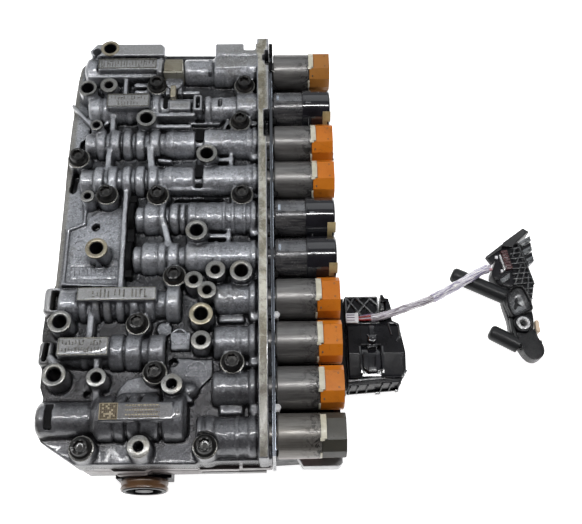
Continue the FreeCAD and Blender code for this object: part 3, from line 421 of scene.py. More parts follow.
def line_tube(name, pts, radius_at, mats, segs=16, centre_at=None, cap=True):
    """Closed tube along points in metres; radius_at(t) with t from 0 to 1."""
    n = len(pts)
    levels = []
    for i, p in enumerate(pts):
        t = i / (n - 1)
        d = (pts[min(i + 1, n - 1)] - pts[max(i - 1, 0)]).normalized()
        side = d.cross(Vector((0, 0, 1))).normalized()
        top = side.cross(d)
        off = centre_at(t) if centre_at else (0.0, 0.0)
        c = p + side * off[0] + top * off[1]
        r = radius_at(t)
        levels.append([tuple(c + side * (r * math.cos(2 * math.pi * k / segs)) + top * (r * math.sin(2 * math.pi * k / segs)))
                       for k in range(segs)])
    verts, faces = rings(levels, lambda q: q)
    mesh = bpy.data.meshes.new(name)
    mesh.from_pydata(verts, [], faces)
    bm = bmesh.new()
    bm.from_mesh(mesh)
    bmesh.ops.recalc_face_normals(bm, faces=bm.faces[:])
    bm.to_mesh(mesh)
    bm.free()
    mesh.polygons.foreach_set("use_smooth", [True] * len(mesh.polygons))
    mesh.set_sharp_from_angle(angle=math.radians(50))
    for m in mats:
        mesh.materials.append(m)
    run_mm = [0.0]
    for a, b in zip(pts, pts[1:]):
        run_mm.append(run_mm[-1] + (b - a).length * 1000.0)
    tube_co = mesh.attributes.new("tube_co", "FLOAT_VECTOR", "POINT")
    for i, v in enumerate(mesh.vertices):
        lv, k = min(i // segs, n - 1), i % segs
        tube_co.data[i].vector = (math.cos(2 * math.pi * k / segs), math.sin(2 * math.pi * k / segs), run_mm[lv] * 0.03)
    obj = bpy.data.objects.new(name, mesh)
    bpy.context.scene.collection.objects.link(obj)
    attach(obj, "root")
    return obj


# ------------------------------------------------------------ light and floor
scene = bpy.context.scene
scene.view_settings.view_transform = "Standard"
scene.view_settings.look = "None"
scene.view_settings.exposure = 0.0


def lamp(name, place, target, size, power, color=(1, 1, 1)):
    data = bpy.data.lights.new(name, "AREA")
    data.shape = "RECTANGLE"
    data.size, data.size_y = size
    data.energy = power
    data.color = color
    obj = bpy.data.objects.new(name, data)
    scene.collection.objects.link(obj)
    z = (Vector(place) - Vector(target)).normalized()
    x = Vector((1, 0, 0))
    y = z.cross(x).normalized()
    x = y.cross(z)
    m = Matrix((x, y, z)).transposed().to_4x4()
    m.translation = Vector(place)
    obj.matrix_world = m
    return obj


lamp("strip_light", (0.0, -0.015, 1.15), (0.0, 0.0, 0.06), (1.7, 0.030), 11.5)
lamp("back_softbox", (0.0, 1.05, 1.15), (0.0, 0.0, 0.05), (2.4, 1.1), 6.0, (0.95, 0.98, 1.0))
lamp("left_softbox", (-1.3, 0.1, 1.0), (0.0, 0.0, 0.05), (0.9, 1.2), 2.6, (0.97, 0.98, 1.0))

world = bpy.data.worlds.new("studio")
scene.world = world
world.use_nodes = True
wt = world.node_tree
wt.nodes.clear()
w_out = wt.nodes.new("ShaderNodeOutputWorld")
w_bg = wt.nodes.new("ShaderNodeBackground")
w_tc = wt.nodes.new("ShaderNodeTexCoord")
w_sep = wt.nodes.new("ShaderNodeSeparateXYZ")
w_mix = wt.nodes.new("ShaderNodeMath")
w_mix.operation = "MULTIPLY_ADD"
w_mix.inputs[1].default_value = 0.55
w_add = wt.nodes.new("ShaderNodeMath")
w_add.operation = "MULTIPLY_ADD"
w_add.inputs[1].default_value = 0.30
w_add.inputs[2].default_value = 0.36
w_ramp = wt.nodes.new("ShaderNodeValToRGB")
el = w_ramp.color_ramp.elements
el[0].position, el[0].color = 0.0, (0.050, 0.026, 0.022, 1)
el[1].position, el[1].color = 1.0, (1.15, 1.18, 1.22, 1)
for pos, col in ((0.30, (0.10, 0.062, 0.055)), (0.50, (0.20, 0.165, 0.16)), (0.66, (0.50, 0.50, 0.52)), (0.82, (0.85, 0.87, 0.90))):
    e = el.new(pos)
    e.color = (*col, 1)
wt.links.new(w_tc.outputs["Generated"], w_sep.inputs[0])
wt.links.new(w_sep.outputs[2], w_add.inputs[0])
wt.links.new(w_sep.outputs[1], w_mix.inputs[0])
wt.links.new(w_add.outputs[0], w_mix.inputs[2])
wt.links.new(w_mix.outputs[0], w_ramp.inputs[0])
wt.links.new(w_ramp.outputs[0], w_bg.inputs[0])
wt.links.new(w_bg.outputs[0], w_out.inputs[0])
w_bg.inputs[1].default_value = 0.23

floor_mesh = bpy.data.meshes.new("floor")
fs = 3.0
floor_mesh.from_pydata([(-fs, -fs, -0.0004), (fs, -fs, -0.0004), (fs, fs, -0.0004), (-fs, fs, -0.0004)], [], [(0, 1, 2, 3)])
fm = Nodes("floor_pale")
fm.bsdf.inputs["Emission Color"].default_value = (1.0, 1.0, 1.0, 1.0)
fm.bsdf.inputs["Emission Strength"].default_value = 0.97
fm.finish(fm.mix(fm.span(fm.noise(3.0), 0.3, 0.7), (0.80, 0.80, 0.80), (0.82, 0.82, 0.82)), 0.9, 0.0)
floor_mesh.materials.append(fm.mat)
floor = bpy.data.objects.new("floor", floor_mesh)
scene.collection.objects.link(floor)
# ------------------------------------------------------------ cast surface
# The upper casting is one blended surface: housings, lobes, ribs and bosses
# melt into the floor as they do in a die casting. Distances are in bench
# millimetres, on a grid of cells of size CELL.
CELL = 0.72
GX0, GX1, GY0, GY1, GZ0, GZ1 = -180.5, -27.0, -19.5, 297.5, 43.0, 78.6
gx = np.arange(GX0, GX1, CELL, dtype=np.float32)
gy = np.arange(GY0, GY1, CELL, dtype=np.float32)
gz = np.arange(GZ0, GZ1, CELL, dtype=np.float32)
FAR = 4.0
field = np.full((len(gx), len(gy), len(gz)), FAR, dtype=np.float32)


def window(b, pad):
    sl, axes = [], []
    for g, lo, hi in ((gx, b[0], b[1]), (gy, b[2], b[3]), (gz, b[4], b[5])):
        i = max(0, int((lo - pad - g[0]) / CELL))
        j = min(len(g), int((hi + pad - g[0]) / CELL) + 2)
        sl.append(slice(i, max(i + 1, j)))
        axes.append(g[sl[-1]])
    return tuple(sl), axes[0][:, None, None], axes[1][None, :, None], axes[2][None, None, :]


def blend_min(a, b, k):
    if k <= 0:
        return np.minimum(a, b)
    h = np.maximum(k - np.abs(a - b), 0.0) / k
    return np.minimum(a, b) - h * h * k * 0.25


def blend_max(a, b, k):
    if k <= 0:
        return np.maximum(a, b)
    h = np.maximum(k - np.abs(a - b), 0.0) / k
    return np.maximum(a, b) + h * h * k * 0.25


def grow(shape, k=2.0):
    fn, b = shape
    sl, x, y, z = window(b, FAR + k)
    field[sl] = blend_min(field[sl], fn(x, y, z), k)


def carve(shape, k=0.5):
    fn, b = shape
    sl, x, y, z = window(b, k + 1.0)
    field[sl] = blend_max(field[sl], -fn(x, y, z), k)


def rounded(d, dz, rnd):
    a, b = d + rnd, dz + rnd
    return np.sqrt(np.maximum(a, 0) ** 2 + np.maximum(b, 0) ** 2) + np.minimum(np.maximum(a, b), 0) - rnd


def s_cyl_x(x0, x1, y0, r, z0=60.5, rnd=0.6):
    def fn(x, y, z):
        return rounded(np.sqrt((y - y0) ** 2 + (z - z0) ** 2) - r, np.abs(x - (x0 + x1) / 2) - (x1 - x0) / 2, rnd)
    return fn, (x0, x1, y0 - r, y0 + r, z0 - r, z0 + r)


def s_cyl_z(cx, cy, z0, z1, r, rnd=0.5, draft=0.0):
    def fn(x, y, z):
        rad = np.sqrt((x - cx) ** 2 + (y - cy) ** 2) - r - draft * np.maximum(z1 - z, 0)
        return rounded(rad, np.abs(z - (z0 + z1) / 2) - (z1 - z0) / 2, rnd)
    rr = r + draft * (z1 - z0)
    return fn, (cx - rr, cx + rr, cy - rr, cy + rr, z0, z1)


def s_box(x0, x1, y0, y1, z0, z1, rnd=0.6, draft=0.0):
    def fn(x, y, z):
        g = draft * np.maximum(z1 - z, 0)
        a = np.abs(x - (x0 + x1) / 2) - (x1 - x0) / 2 - g + rnd
        b = np.abs(y - (y0 + y1) / 2) - (y1 - y0) / 2 - g + rnd
        c = np.abs(z - (z0 + z1) / 2) - (z1 - z0) / 2 + rnd
        out = np.sqrt(np.maximum(a, 0) ** 2 + np.maximum(b, 0) ** 2 + np.maximum(c, 0) ** 2)
        return out + np.minimum(np.maximum(np.maximum(a, b), c), 0) - rnd
    e = draft * (z1 - z0)
    return fn, (x0 - e, x1 + e, y0 - e, y1 + e, z0, z1)


def s_bar(p, q, w, z0, z1, rnd=0.6, draft=0.04):
    # an upright wall with round ends
    px, py, qx, qy = p[0], p[1], q[0], q[1]
    def fn(x, y, z):
        dx, dy = qx - px, qy - py
        t = np.clip(((x - px) * dx + (y - py) * dy) / (dx * dx + dy * dy), 0, 1)
        d = np.sqrt((x - px - t * dx) ** 2 + (y - py - t * dy) ** 2) - w / 2 - draft * np.maximum(z1 - z, 0)
        return rounded(d, np.abs(z - (z0 + z1) / 2) - (z1 - z0) / 2, rnd)
    h = w / 2 + draft * (z1 - z0)
    return fn, (min(px, qx) - h, max(px, qx) + h, min(py, qy) - h, max(py, qy) + h, z0, z1)


def flat_distance(points, x, y):
    d = np.full(np.broadcast_shapes(x.shape, y.shape), 1e9, dtype=np.float32)
    inside = np.zeros(d.shape, dtype=bool)
    for i, (ax, ay) in enumerate(points):
        bx, by = points[(i + 1) % len(points)]
        dx, dy = bx - ax, by - ay
        t = np.clip(((x - ax) * dx + (y - ay) * dy) / (dx * dx + dy * dy), 0, 1)
        d = np.minimum(d, np.sqrt((x - ax - t * dx) ** 2 + (y - ay - t * dy) ** 2))
        if abs(dy) > 1e-9:
            cross = ((ay > y) != (by > y)) & (x < dx * (y - ay) / dy + ax)
            inside ^= cross
    return np.where(inside, -d, d)


def s_poly(points, z0, z1, rnd=0.6):
    xs, ys = [p[0] for p in points], [p[1] for p in points]
    def fn(x, y, z):
        return rounded(flat_distance(points, x, y), np.abs(z - (z0 + z1) / 2) - (z1 - z0) / 2, rnd)
    return fn, (min(xs), max(xs), min(ys), max(ys), z0, z1)


def s_egg(cx, cy, cz, rx, ry, rz):
    def fn(x, y, z):
        q = np.sqrt(((x - cx) / rx) ** 2 + ((y - cy) / ry) ** 2 + ((z - cz) / rz) ** 2)
        return (q - 1.0) * min(rx, ry, rz)
    return fn, (cx - rx, cx + rx, cy - ry, cy + ry, cz - rz, cz + rz)


OUTLINE = [(-149.4, -15.0), (-76.3, -16.0), (-73.5, -14.2), (-37.0, -14.2),
           (-37.0, 292.0), (-155.0, 293.0), (-164.5, 290.5), (-171.0, 281.0),
           (-172.5, 268.0), (-173.2, 243.0), (-173.7, 200.0), (-172.8, 151.0),
           (-172.4, 103.0), (-176.4, 93.0), (-177.4, 68.0), (-175.2, 48.0),
           (-174.8, 33.0), (-172.2, 26.4), (-174.2, 13.0), (-172.0, 2.0),
           (-171.0, -1.0), (-151.6, -13.6)]
CASE_BOSSES = [(-147.1, 287.2, 6.9), (-160.8, 251.5, 6.6), (-117.0, 225.0, 7.1),
               (-73.4, 195.0, 7.3), (-78.7, 135.0, 7.4), (-143.9, 122.5, 7.4),
               (-48.8, 105.0, 7.4), (-162.75, 71.3, 7.4), (-162.75, 36.7, 7.4),
               (-74.1, 75.4, 7.6)]
SMALL_BOSSES = [(-145.7, 254.2, 6.3, 2.9), (-151.9, 219.6, 4.4, 2.4),
                (-153.2, 162.0, 4.7, 2.2), (-65.6, 106.1, 6.5, 2.9),
                (-79.5, 99.2, 6.1, 2.8), (-70.7, 91.9, 6.1, 2.8),
                (-136.9, 34.7, 6.1, 3.2), (-90.6, 30.0, 6.6, 3.1),
                (-73.6, 57.9, 6.4, 3.0), (-108.6, -7.9, 6.9, 2.9)]
BOLTS = [(-111.5, 257.4, 68.5), (-47.6, 257.0, 68.5), (-50.7, 225.0, 68.5),
         (-163.3, 195.4, 68.5), (-141.1, 165.0, 70.0), (-106.6, 165.0, 68.5),
         (-49.0, 165.0, 68.5), (-92.7, 104.4, 68.5), (-114.7, 71.3, 68.5),
         (-102.1, 39.0, 68.5), (-54.2, 45.0, 68.5), (-143.5, -7.3, 68.5),
         (-69.8, -7.2, 68.5)]
# Housings: row axis, then (x from, x to, radius, edge rounding); each blends in with 2.2.
TRUNKS = {
    274.0: [(-165.5, -111.0, 10.6, 2.5), (-92.1, -69.0, 10.6, 0.8), (-70.0, -37.6, 12.6, 0.8)],
    240.0: [(-160.5, -106.2, 10.2, 2.5), (-106.4, -37.6, 9.4, 0.8), (-70.8, -52.0, 10.4, 1.0), (-53.0, -37.6, 12.6, 0.8)],
    210.0: [(-160.0, -99.3, 9.2, 1.2), (-103.0, -82.4, 10.6, 1.6), (-76.0, -37.6, 11.6, 0.8), (-82.6, -75.8, 8.4, 0.5)],
    180.0: [(-161.0, -99.4, 9.2, 1.2), (-103.0, -82.4, 10.6, 1.6), (-76.0, -37.6, 11.4, 0.8), (-82.6, -75.8, 8.4, 0.5)],
    150.0: [(-121.0, -37.6, 9.0, 1.0), (-79.6, -37.6, 11.2, 1.4)],
    120.0: [(-121.0, -37.6, 9.0, 1.0), (-79.4, -37.6, 11.5, 1.4)],
    87.0: [(-166.0, -88.8, 9.2, 2.0), (-166.5, -154.0, 11.0, 2.4)],
    54.5: [(-163.5, -97.0, 9.4, 2.5)],
    12.0: [(-173.2, -139.0, 10.9, 3.4), (-139.0, -81.5, 11.8, 2.0)],
    90.0: [(-66.2, -37.6, 11.0, 2.2)],
    60.0: [(-66.2, -37.6, 10.8, 2.2)],
    30.0: [(-66.2, -37.6, 11.0, 2.2)],
    0.0: [(-75.0, -37.6, 11.4, 1.0)],
}
# Lobes: row axis, then (middle, half width, radius).
LOBES = {
    274.0: [(-159.6, 4.4, 11.8), (-109.8, 1.9, 12.2), (-60.0, 2.0, 13.0), (-42.0, 3.0, 13.2)],
    240.0: [(-155.2, 4.3, 11.5), (-146.5, 3.6, 11.6), (-138.6, 2.6, 11.0), (-130.4, 2.8, 11.2), (-111.8, 3.2, 12.0),
            (-74.0, 2.7, 11.8), (-64.4, 1.7, 11.0), (-44.0, 4.6, 13.0)],
    210.0: [(-148.6, 3.4, 11.6), (-138.7, 3.6, 11.7), (-130.2, 3.3, 11.7), (-121.0, 3.3, 11.7), (-110.8, 3.6, 11.8),
            (-98.8, 1.6, 11.2), (-44.6, 2.0, 12.4), (-40.2, 1.9, 13.0)],
    180.0: [(-148.2, 3.6, 11.7), (-138.5, 3.3, 11.7), (-128.8, 3.2, 11.7), (-119.6, 3.4, 11.7), (-110.6, 3.4, 11.7),
            (-98.8, 1.6, 11.2), (-44.6, 2.0, 12.2), (-40.2, 1.9, 12.8)],
    150.0: [(-110.0, 5.2, 11.6), (-102.8, 2.2, 12.0), (-94.7, 3.3, 11.6), (-88.9, 1.9, 11.5), (-82.6, 3.4, 11.8),
            (-61.0, 1.0, 12.1), (-55.0, 1.0, 12.1), (-47.2, 1.0, 12.1), (-41.0, 2.2, 12.6)],
    120.0: [(-109.8, 5.5, 11.5), (-101.6, 3.0, 12.0), (-94.4, 3.8, 11.5), (-82.4, 3.8, 11.8), (-66.0, 1.2, 12.0), (-41.0, 2.2, 12.6)],
    87.0: [(-150.5, 2.7, 11.9), (-142.1, 2.7, 11.9), (-135.0, 2.6, 11.9), (-126.6, 2.8, 11.9), (-117.6, 3.0, 11.9),
           (-107.6, 3.2, 12.0), (-92.9, 4.6, 12.6)],
    54.5: [(-147.0, 2.6, 10.8), (-137.8, 2.6, 10.8), (-126.8, 4.8, 12.0), (-116.4, 5.2, 12.2), (-101.8, 5.2, 11.4)],
    12.0: [(-131.5, 5.8, 14.2), (-122.0, 3.6, 14.0), (-113.6, 3.8, 14.0), (-103.6, 5.6, 14.2), (-89.4, 6.6, 14.6)],
    90.0: [(-55.6, 1.2, 11.5), (-41.6, 2.4, 12.6)],
    60.0: [(-50.4, 1.2, 11.3), (-41.6, 2.4, 12.6)],
    30.0: [(-50.4, 1.2, 11.5), (-41.6, 2.4, 12.6)],
    0.0: [(-73.2, 1.8, 12.6), (-67.2, 3.4, 12.8), (-50.8, 1.2, 12.0), (-41.4, 3.2, 12.6)],
}
RIBS = [((-135.0, 249.0), (-135.0, 266.0), 3.0, 68.0), ((-142.0, 216.0), (-142.0, 234.0), 3.6, 68.0),
        ((-142.6, 187.0), (-142.6, 203.0), 3.8, 69.0), ((-112.2, 186.0), (-114.2, 205.0), 4.6, 69.5),
        ((-111.5, 231.0), (-84.5, 231.0), 2.8, 70.0), ((-111.0, 221.1), (-86.8, 221.1), 2.8, 70.0),
        ((-129.0, 177.0), (-127.8, 97.0), 3.2, 67.5), ((-101.8, 145.0), (-97.4, 127.0), 4.0, 69.5),
        ((-145.0, 64.0), (-145.0, 80.0), 4.0, 68.0), ((-148.5, 80.0), (-141.5, 80.0), 2.6, 66.0), ((-138.4, 40.0), (-138.4, 49.0), 3.4, 70.0),
        ((-137.4, 20.0), (-137.4, 31.0), 4.0, 69.0), ((-127.4, 260.4), (-118.0, 260.4), 3.6, 66.0),
        ((-127.4, 254.3), (-118.0, 254.3), 2.6, 66.0), ((-92.7, 253.2), (-82.0, 253.2), 2.8, 66.0),
        ((-157.2, 163.5), (-156.6, 147.3), 1.8, 62.0), ((-156.6, 147.3), (-167.0, 142.8), 1.8, 62.0),
        ((-167.0, 142.8), (-166.8, 102.7), 1.8, 62.0), ((-166.8, 102.6), (-130.0, 100.8), 1.8, 62.0),
        ((-172.5, 243.0), (-152.0, 219.0), 2.2, 65.0), ((-151.0, 222.0), (-146.0, 229.0), 2.4, 65.0),
        ((-100.0, 195.0), (-108.0, 196.0), 2.4, 65.0), ((-66.0, 195.0), (-57.0, 195.0), 3.0, 66.5), ((-57.0, 190.5), (-57.0, 199.5), 2.4, 66.5),
        ((-98.0, 171.0), (-70.0, 170.6), 2.2, 67.0), ((-96.0, 159.0), (-62.0, 159.5), 2.2, 66.0),
        ((-70.0, 135.0), (-58.0, 135.0), 3.0, 66.0), ((-58.0, 130.5), (-58.0, 139.5), 2.4, 66.0),
        ((-48.0, 225.0), (-40.0, 225.0), 4.0, 67.0), ((-65.0, 213.8), (-60.0, 228.6), 2.2, 64.5), ((-100.0, 228.0), (-66.0, 227.8), 1.6, 63.0),
        ((-49.0, 165.0), (-40.0, 165.0), 4.0, 67.0), ((-54.0, 45.0), (-40.0, 45.0), 3.4, 65.0), ((-163.0, 71.0), (-172.0, 76.0), 3.0, 66.0),
        ((-163.0, 45.0), (-168.0, 50.0), 4.0, 68.0), ((-90.6, 30.0), (-80.0, 22.0), 3.0, 66.0)]
PADS = [(-154.5, -111.3, 267.6, 277.3, 75.0), (-146.0, -115.4, 234.0, 245.8, 75.0),
        (-153.5, -102.9, 85.2, 94.4, 75.0), (-162.5, -130.7, 48.4, 60.8, 75.0), (-134.3, -88.9, 7.3, 18.8, 75.4)]

grow(s_poly(OUTLINE, 45.5, 59.5, 0.8), 0.0)
for row, spans in TRUNKS.items():
    for (x0, x1, r, e) in spans:
        grow(s_cyl_x(x0, x1, row, r, rnd=e), 2.2)
    lo, hi = min(s[0] for s in spans), max(s[1] for s in spans)
    grow(s_box(lo + 1.2, -38.0 if hi > -40 else hi - 1.2, row - 8.0, row + 8.0, 46.2, 60.5, 1.0), 3.0)
for row, lobes in LOBES.items():
    for (c, h, r) in lobes:
        grow(s_cyl_x(c - h, c + h, row, r, rnd=min(h * 0.8, 2.2)), 0.85)
for (p, q, w, top) in RIBS:
    grow(s_bar(p, q, w, 57.5, top), 1.8)
for (x, y, r) in CASE_BOSSES:
    grow(s_cyl_z(x, y, 46.0, 74.2, r - 0.15, 0.5, 0.035), 2.4)
for (x, y, r, h) in SMALL_BOSSES:
    grow(s_cyl_z(x, y, 46.0, 73.7, r - 0.15, 0.5, 0.035), 2.4)
for (x, y, seat) in BOLTS:
    grow(s_cyl_z(x, y, 46.0, seat, 7.7, 0.5, 0.03), 2.2)
# pads for marks, on top of the housings
for (x0, x1, y0, y1, top) in PADS:
    grow(s_box(x0, x1, y0, y1, 60.5, top, 1.0, 0.06), 0.8)
grow(s_box(-164.0, -112.0, 264.6, 268.4, 47.0, 69.6, 0.8), 1.2)
grow(s_box(-111.6, -108.0, 264.0, 277.6, 60.0, 74.4, 0.8), 1.0)
# back edge
grow(s_poly([(-154.0, 280.5), (-106.5, 280.5), (-106.5, 288.2), (-109.3, 291.5), (-157.0, 291.5), (-162.0, 285.0), (-160.0, 281.0)],
            46.2, 74.6, 1.0), 1.2)
grow(s_box(-69.2, -37.3, 281.4, 291.8, 46.2, 74.0, 1.0), 1.0)
grow(s_box(-69.2, -37.3, 270.0, 281.6, 60.0, 72.9, 1.0), 1.6)
# left wall of the third lower row, and of the fourth
grow(s_box(-176.6, -165.0, 79.0, 98.0, 50.0, 68.6, 3.4), 1.6)
grow(s_box(-177.0, -168.0, 46.0, 62.0, 50.0, 65.0, 3.0), 1.6)
# square pad, lugs, ledges
grow(s_box(-94.0, -81.4, 55.4, 67.4, 58.0, 62.8, 0.7, 0.05), 0.6)
grow(s_box(-63.8, -47.2, 73.6, 78.6, 58.0, 63.2, 1.6, 0.1), 1.6)
grow(s_box(-62.0, -47.5, 13.0, 19.0, 58.0, 63.2, 1.6, 0.1), 1.6)
grow(s_box(-123.0, -99.7, 21.4, 27.6, 58.0, 64.0, 1.6, 0.05), 2.0)
grow(s_box(-84.4, -77.9, 231.9, 245.5, 58.0, 74.0, 1.2), 1.2)
grow(s_box(-101.5, -86.0, 232.6, 240.8, 58.0, 73.6, 1.0), 1.2)
grow(s_cyl_z(-98.6, 70.0, 58.0, 61.6, 5.2, 1.0), 1.6)
grow(s_poly([(-92.5, 50.6), (-67.0, 49.6), (-66.6, 38.4), (-79.2, 26.4), (-86.0, 25.6), (-96.5, 36.0)], 57.0, 61.4, 0.7), 0.6)
grow(s_poly([(-127.6, 24.0), (-124.6, 31.0), (-119.6, 36.6), (-112.0, 38.6), (-103.0, 37.2), (-99.0, 30.0), (-97.0, 22.0)], 57.0, 62.6, 0.8), 0.7)
grow(s_poly([(-156.6, 147.0), (-166.6, 142.4), (-166.6, 103.0), (-130.4, 101.0), (-130.0, 176.0), (-157.0, 176.0)], 57.0, 60.3, 0.3), 0.0)
for (x, y) in ((-39.9, 198.0), (-39.9, 138.0), (-39.9, 105.0), (-39.9, 76.5), (-39.9, 46.5), (-39.9, 15.5)):
    grow(s_cyl_z(x, y, 58.0, 66.5, 3.6, 1.6, 0.03), 2.4)
grow(s_egg(-81.5, 29.0, 61.0, 6.0, 5.0, 4.5), 2.5)
# strip that carries the solenoids
grow(s_box(-37.9, -31.6, -15.8, 209.5, 45.6, 74.0, 0.5), 0.6)
grow(s_box(-37.9, -33.6, 208.5, 233.0, 45.6, 74.0, 0.5), 0.3)
grow(s_box(-38.6, -29.8, 232.0, 296.8, 45.6, 74.0, 1.0), 0.6)
grow(s_box(-37.4, -29.8, -15.0, 296.0, 45.6, 66.0, 0.5), 0.3)

# bolt pockets and holes
for (x, y, seat) in BOLTS:
    carve(s_cyl_z(x, y, seat, 90.0, 8.0, 0.2), 0.6)
    carve(s_cyl_z(x, y, 40.0, 90.0, 3.4, 0.1), 0.2)
for (x, y, r) in CASE_BOSSES:
    carve(s_cyl_z(x, y, 40.0, 90.0, 4.5, 0.1), 0.3)
for (x, y, r, h) in SMALL_BOSSES:
    carve(s_cyl_z(x, y, 61.0, 90.0, h + 0.3, 0.1), 0.3)
for (x, y, r, z) in ((-156.6, 284.3, 3.0, 62.0), (-149.0, 145.3, 2.8, 54.0), (-92.0, 47.8, 2.9, 54.0),
                     (-145.0, 28.3, 2.1, 54.0)):
    carve(s_cyl_z(x, y, z, 90.0, r, 0.1), 0.5)
# cross slots, wall slots
for (x0, x1, y0, y1, z0) in ((-106.1, -103.3, 236.6, 246.0, 49.5), (-82.0, -76.4, 208.0, 218.0, 50.5),
                             (-81.5, -76.0, 178.0, 188.0, 50.5), (-167.0, -162.5, 4.4, 19.6, 50.5),
                             (-171.6, -166.8, 81.5, 95.5, 58.5), (-48.2, -39.6, 285.8, 294.0, 64.5),
                             (-82.4, -79.6, 233.6, 243.9, 66.0), (-66.4, -63.8, 237.0, 244.5, 68.5)):
    carve(s_box(x0, x1, y0, y1, z0, 90.0, 1.1), 0.4)
carve(s_bar((-167.6, 175.0), (-166.4, 187.0), 4.6, 53.0, 90.0, 0.5, 0.0), 0.5)
carve(s_bar((-164.6, 203.0), (-163.6, 214.0), 4.2, 54.0, 90.0, 0.5, 0.0), 0.5)
carve(s_bar((-163.6, 214.0), (-158.5, 219.5), 3.0, 56.0, 90.0, 0.5, 0.0), 0.5)
carve(s_bar((-173.0, 50.0), (-171.8, 60.0), 3.2, 56.0, 90.0, 0.5, 0.0), 0.5)
# recess of the damper, and the corner notch of the strip
carve(s_box(-106.6, -92.4, 262.0, 292.0, 61.6, 90.0, 0.6), 0.5)
carve(s_cyl_z(-99.2, 274.0, 50.0, 90.0, 5.3, 0.1), 0.2)
carve(s_box(-32.6, -27.0, 272.0, 285.5, 61.0, 90.0, 0.8), 0.4)
carve(s_box(-34.4, -27.0, 276.0, 281.0, 61.0, 90.0, 0.8), 0.4)
carve(s_box(-33.4, -27.0, 209.8, 231.6, 60.0, 90.0, 0.8), 0.4)
# lower floor pockets that show as dark gaps between the rows
for (x0, x1, y0, y1, z0) in ((-104.0, -58.0, 246.5, 250.4, 52.0), (-108.0, -88.0, 224.0, 228.4, 55.0), (-96.0, -62.0, 161.6, 166.6, 52.0),
                             (-128.0, -118.0, 246.0, 251.0, 53.0), (-160.0, -146.0, 222.6, 226.0, 55.0), (-96.0, -80.0, 72.0, 84.0, 57.8)):
    carve(s_box(x0, x1, y0, y1, z0, 90.0, 1.6), 1.2) if z0 < 57 else None
# engraved frame on the left panel
for (x0, x1, y0, y1, z) in ((-163.6, -132.2, 106.2, 116.4, 60.3),):
    for b in ((x0, x1, y0, y0 + 0.9), (x0, x1, y1 - 0.9, y1), (x0, x0 + 0.9, y0, y1), (x1 - 0.9, x1, y0, y1)):
        carve(s_box(b[0], b[1], b[2], b[3], z - 0.5, 90.0, 0.1), 0.3)
# spool bores and solenoid bores
BORES = {"a": (274.0, -161.0, -108.0), "b": (240.0, -155.0, -106.2), "c": (210.0, -155.0, -76.0), "d": (180.0, -155.0, -76.0),
         "e": (150.0, -121.4, -72.0), "f": (120.0, -121.2, -72.0), "g": (87.0, -160.0, -89.5), "h": (54.5, -158.0, -96.8),
         "j": (12.0, -173.5, -91.5)}
for y, a, b in BORES.values():
    carve(s_cyl_x(a, b, y, 7.15, rnd=0.1), 0.0)
NOSES = {274.0: -64.0, 240.0: -64.0, 210.0: -70.0, 180.0: -70.0, 150.0: -70.0, 120.0: -70.0, 90.0: -62.5, 60.0: -62.5, 30.0: -62.5, 0.0: -62.5}
for y, a in NOSES.items():
    carve(s_cyl_x(a, -20.0, y, 8.15, rnd=0.1), 0.0)
# a little unevenness of the cast walls
wob = (0.10 * np.sin(gx[:, None, None] * 0.83 + 1.3 * np.sin(gy[None, :, None] * 0.31)) * np.sin(gy[None, :, None] * 0.71 + 0.6)
       + 0.07 * np.sin(gx[:, None, None] * 1.9 + gz[None, None, :] * 1.3) * np.sin(gy[None, :, None] * 1.55))
soft_zone = (gx < -39.0)[:, None, None] & (gz < 73.2)[None, None, :] & (gz > 60.0)[None, None, :]
field += np.where(soft_zone, wob.astype(np.float32), 0)
np.clip(field, -FAR, FAR, out=field)


def iso_surface(vol, adapt):
    grid = openvdb.FloatGrid(FAR)
    grid.copyFromArray(vol)
    pts, tris, quads = grid.convertToPolygons(isovalue=0.0, adaptivity=adapt)
    return np.asarray(pts, dtype=np.float64), np.asarray(tris), np.asarray(quads)


# ------------------------------------------------------- casting: mesh, masks
def smooth_map(a, cells):
    for _ in range(2):
        for ax in (0, 1):
            pad = [(0, 0), (0, 0)]
            pad[ax] = (cells + 1, cells)
            c = np.cumsum(np.pad(a, pad, mode="edge"), axis=ax)
            hi = np.take(c, np.arange(2 * cells + 1, c.shape[ax]), axis=ax)
            lo = np.take(c, np.arange(0, c.shape[ax] - 2 * cells - 1), axis=ax)
            a = (hi - lo) / (2 * cells + 1)
    return a


def sample(vol, pts):
    """Trilinear value of a grid at bench points (N x 3)."""
    q = np.stack([(pts[:, 0] - GX0) / CELL, (pts[:, 1] - GY0) / CELL, (pts[:, 2] - GZ0) / CELL], axis=1)
    for k in range(3):
        q[:, k] = np.clip(q[:, k], 0, vol.shape[k] - 1.001)
    i = q.astype(np.int32)
    f = (q - i).astype(np.float32)
    out = 0
    for dx in (0, 1):
        for dy in (0, 1):
            for dz in (0, 1):
                w = (f[:, 0] if dx else 1 - f[:, 0]) * (f[:, 1] if dy else 1 - f[:, 1]) * (f[:, 2] if dz else 1 - f[:, 2])
                out = out + w * vol[i[:, 0] + dx, i[:, 1] + dy, i[:, 2] + dz]
    return out


inside = field < 0
tops = np.where(inside.any(axis=2), len(gz) - 1 - np.argmax(inside[:, :, ::-1], axis=2), 20) * CELL + GZ0
tops = np.maximum(tops, 59.0).astype(np.float32)
wide_top = smooth_map(tops, int(7.0 / CELL))
near_top = smooth_map(tops, int(3.0 / CELL))

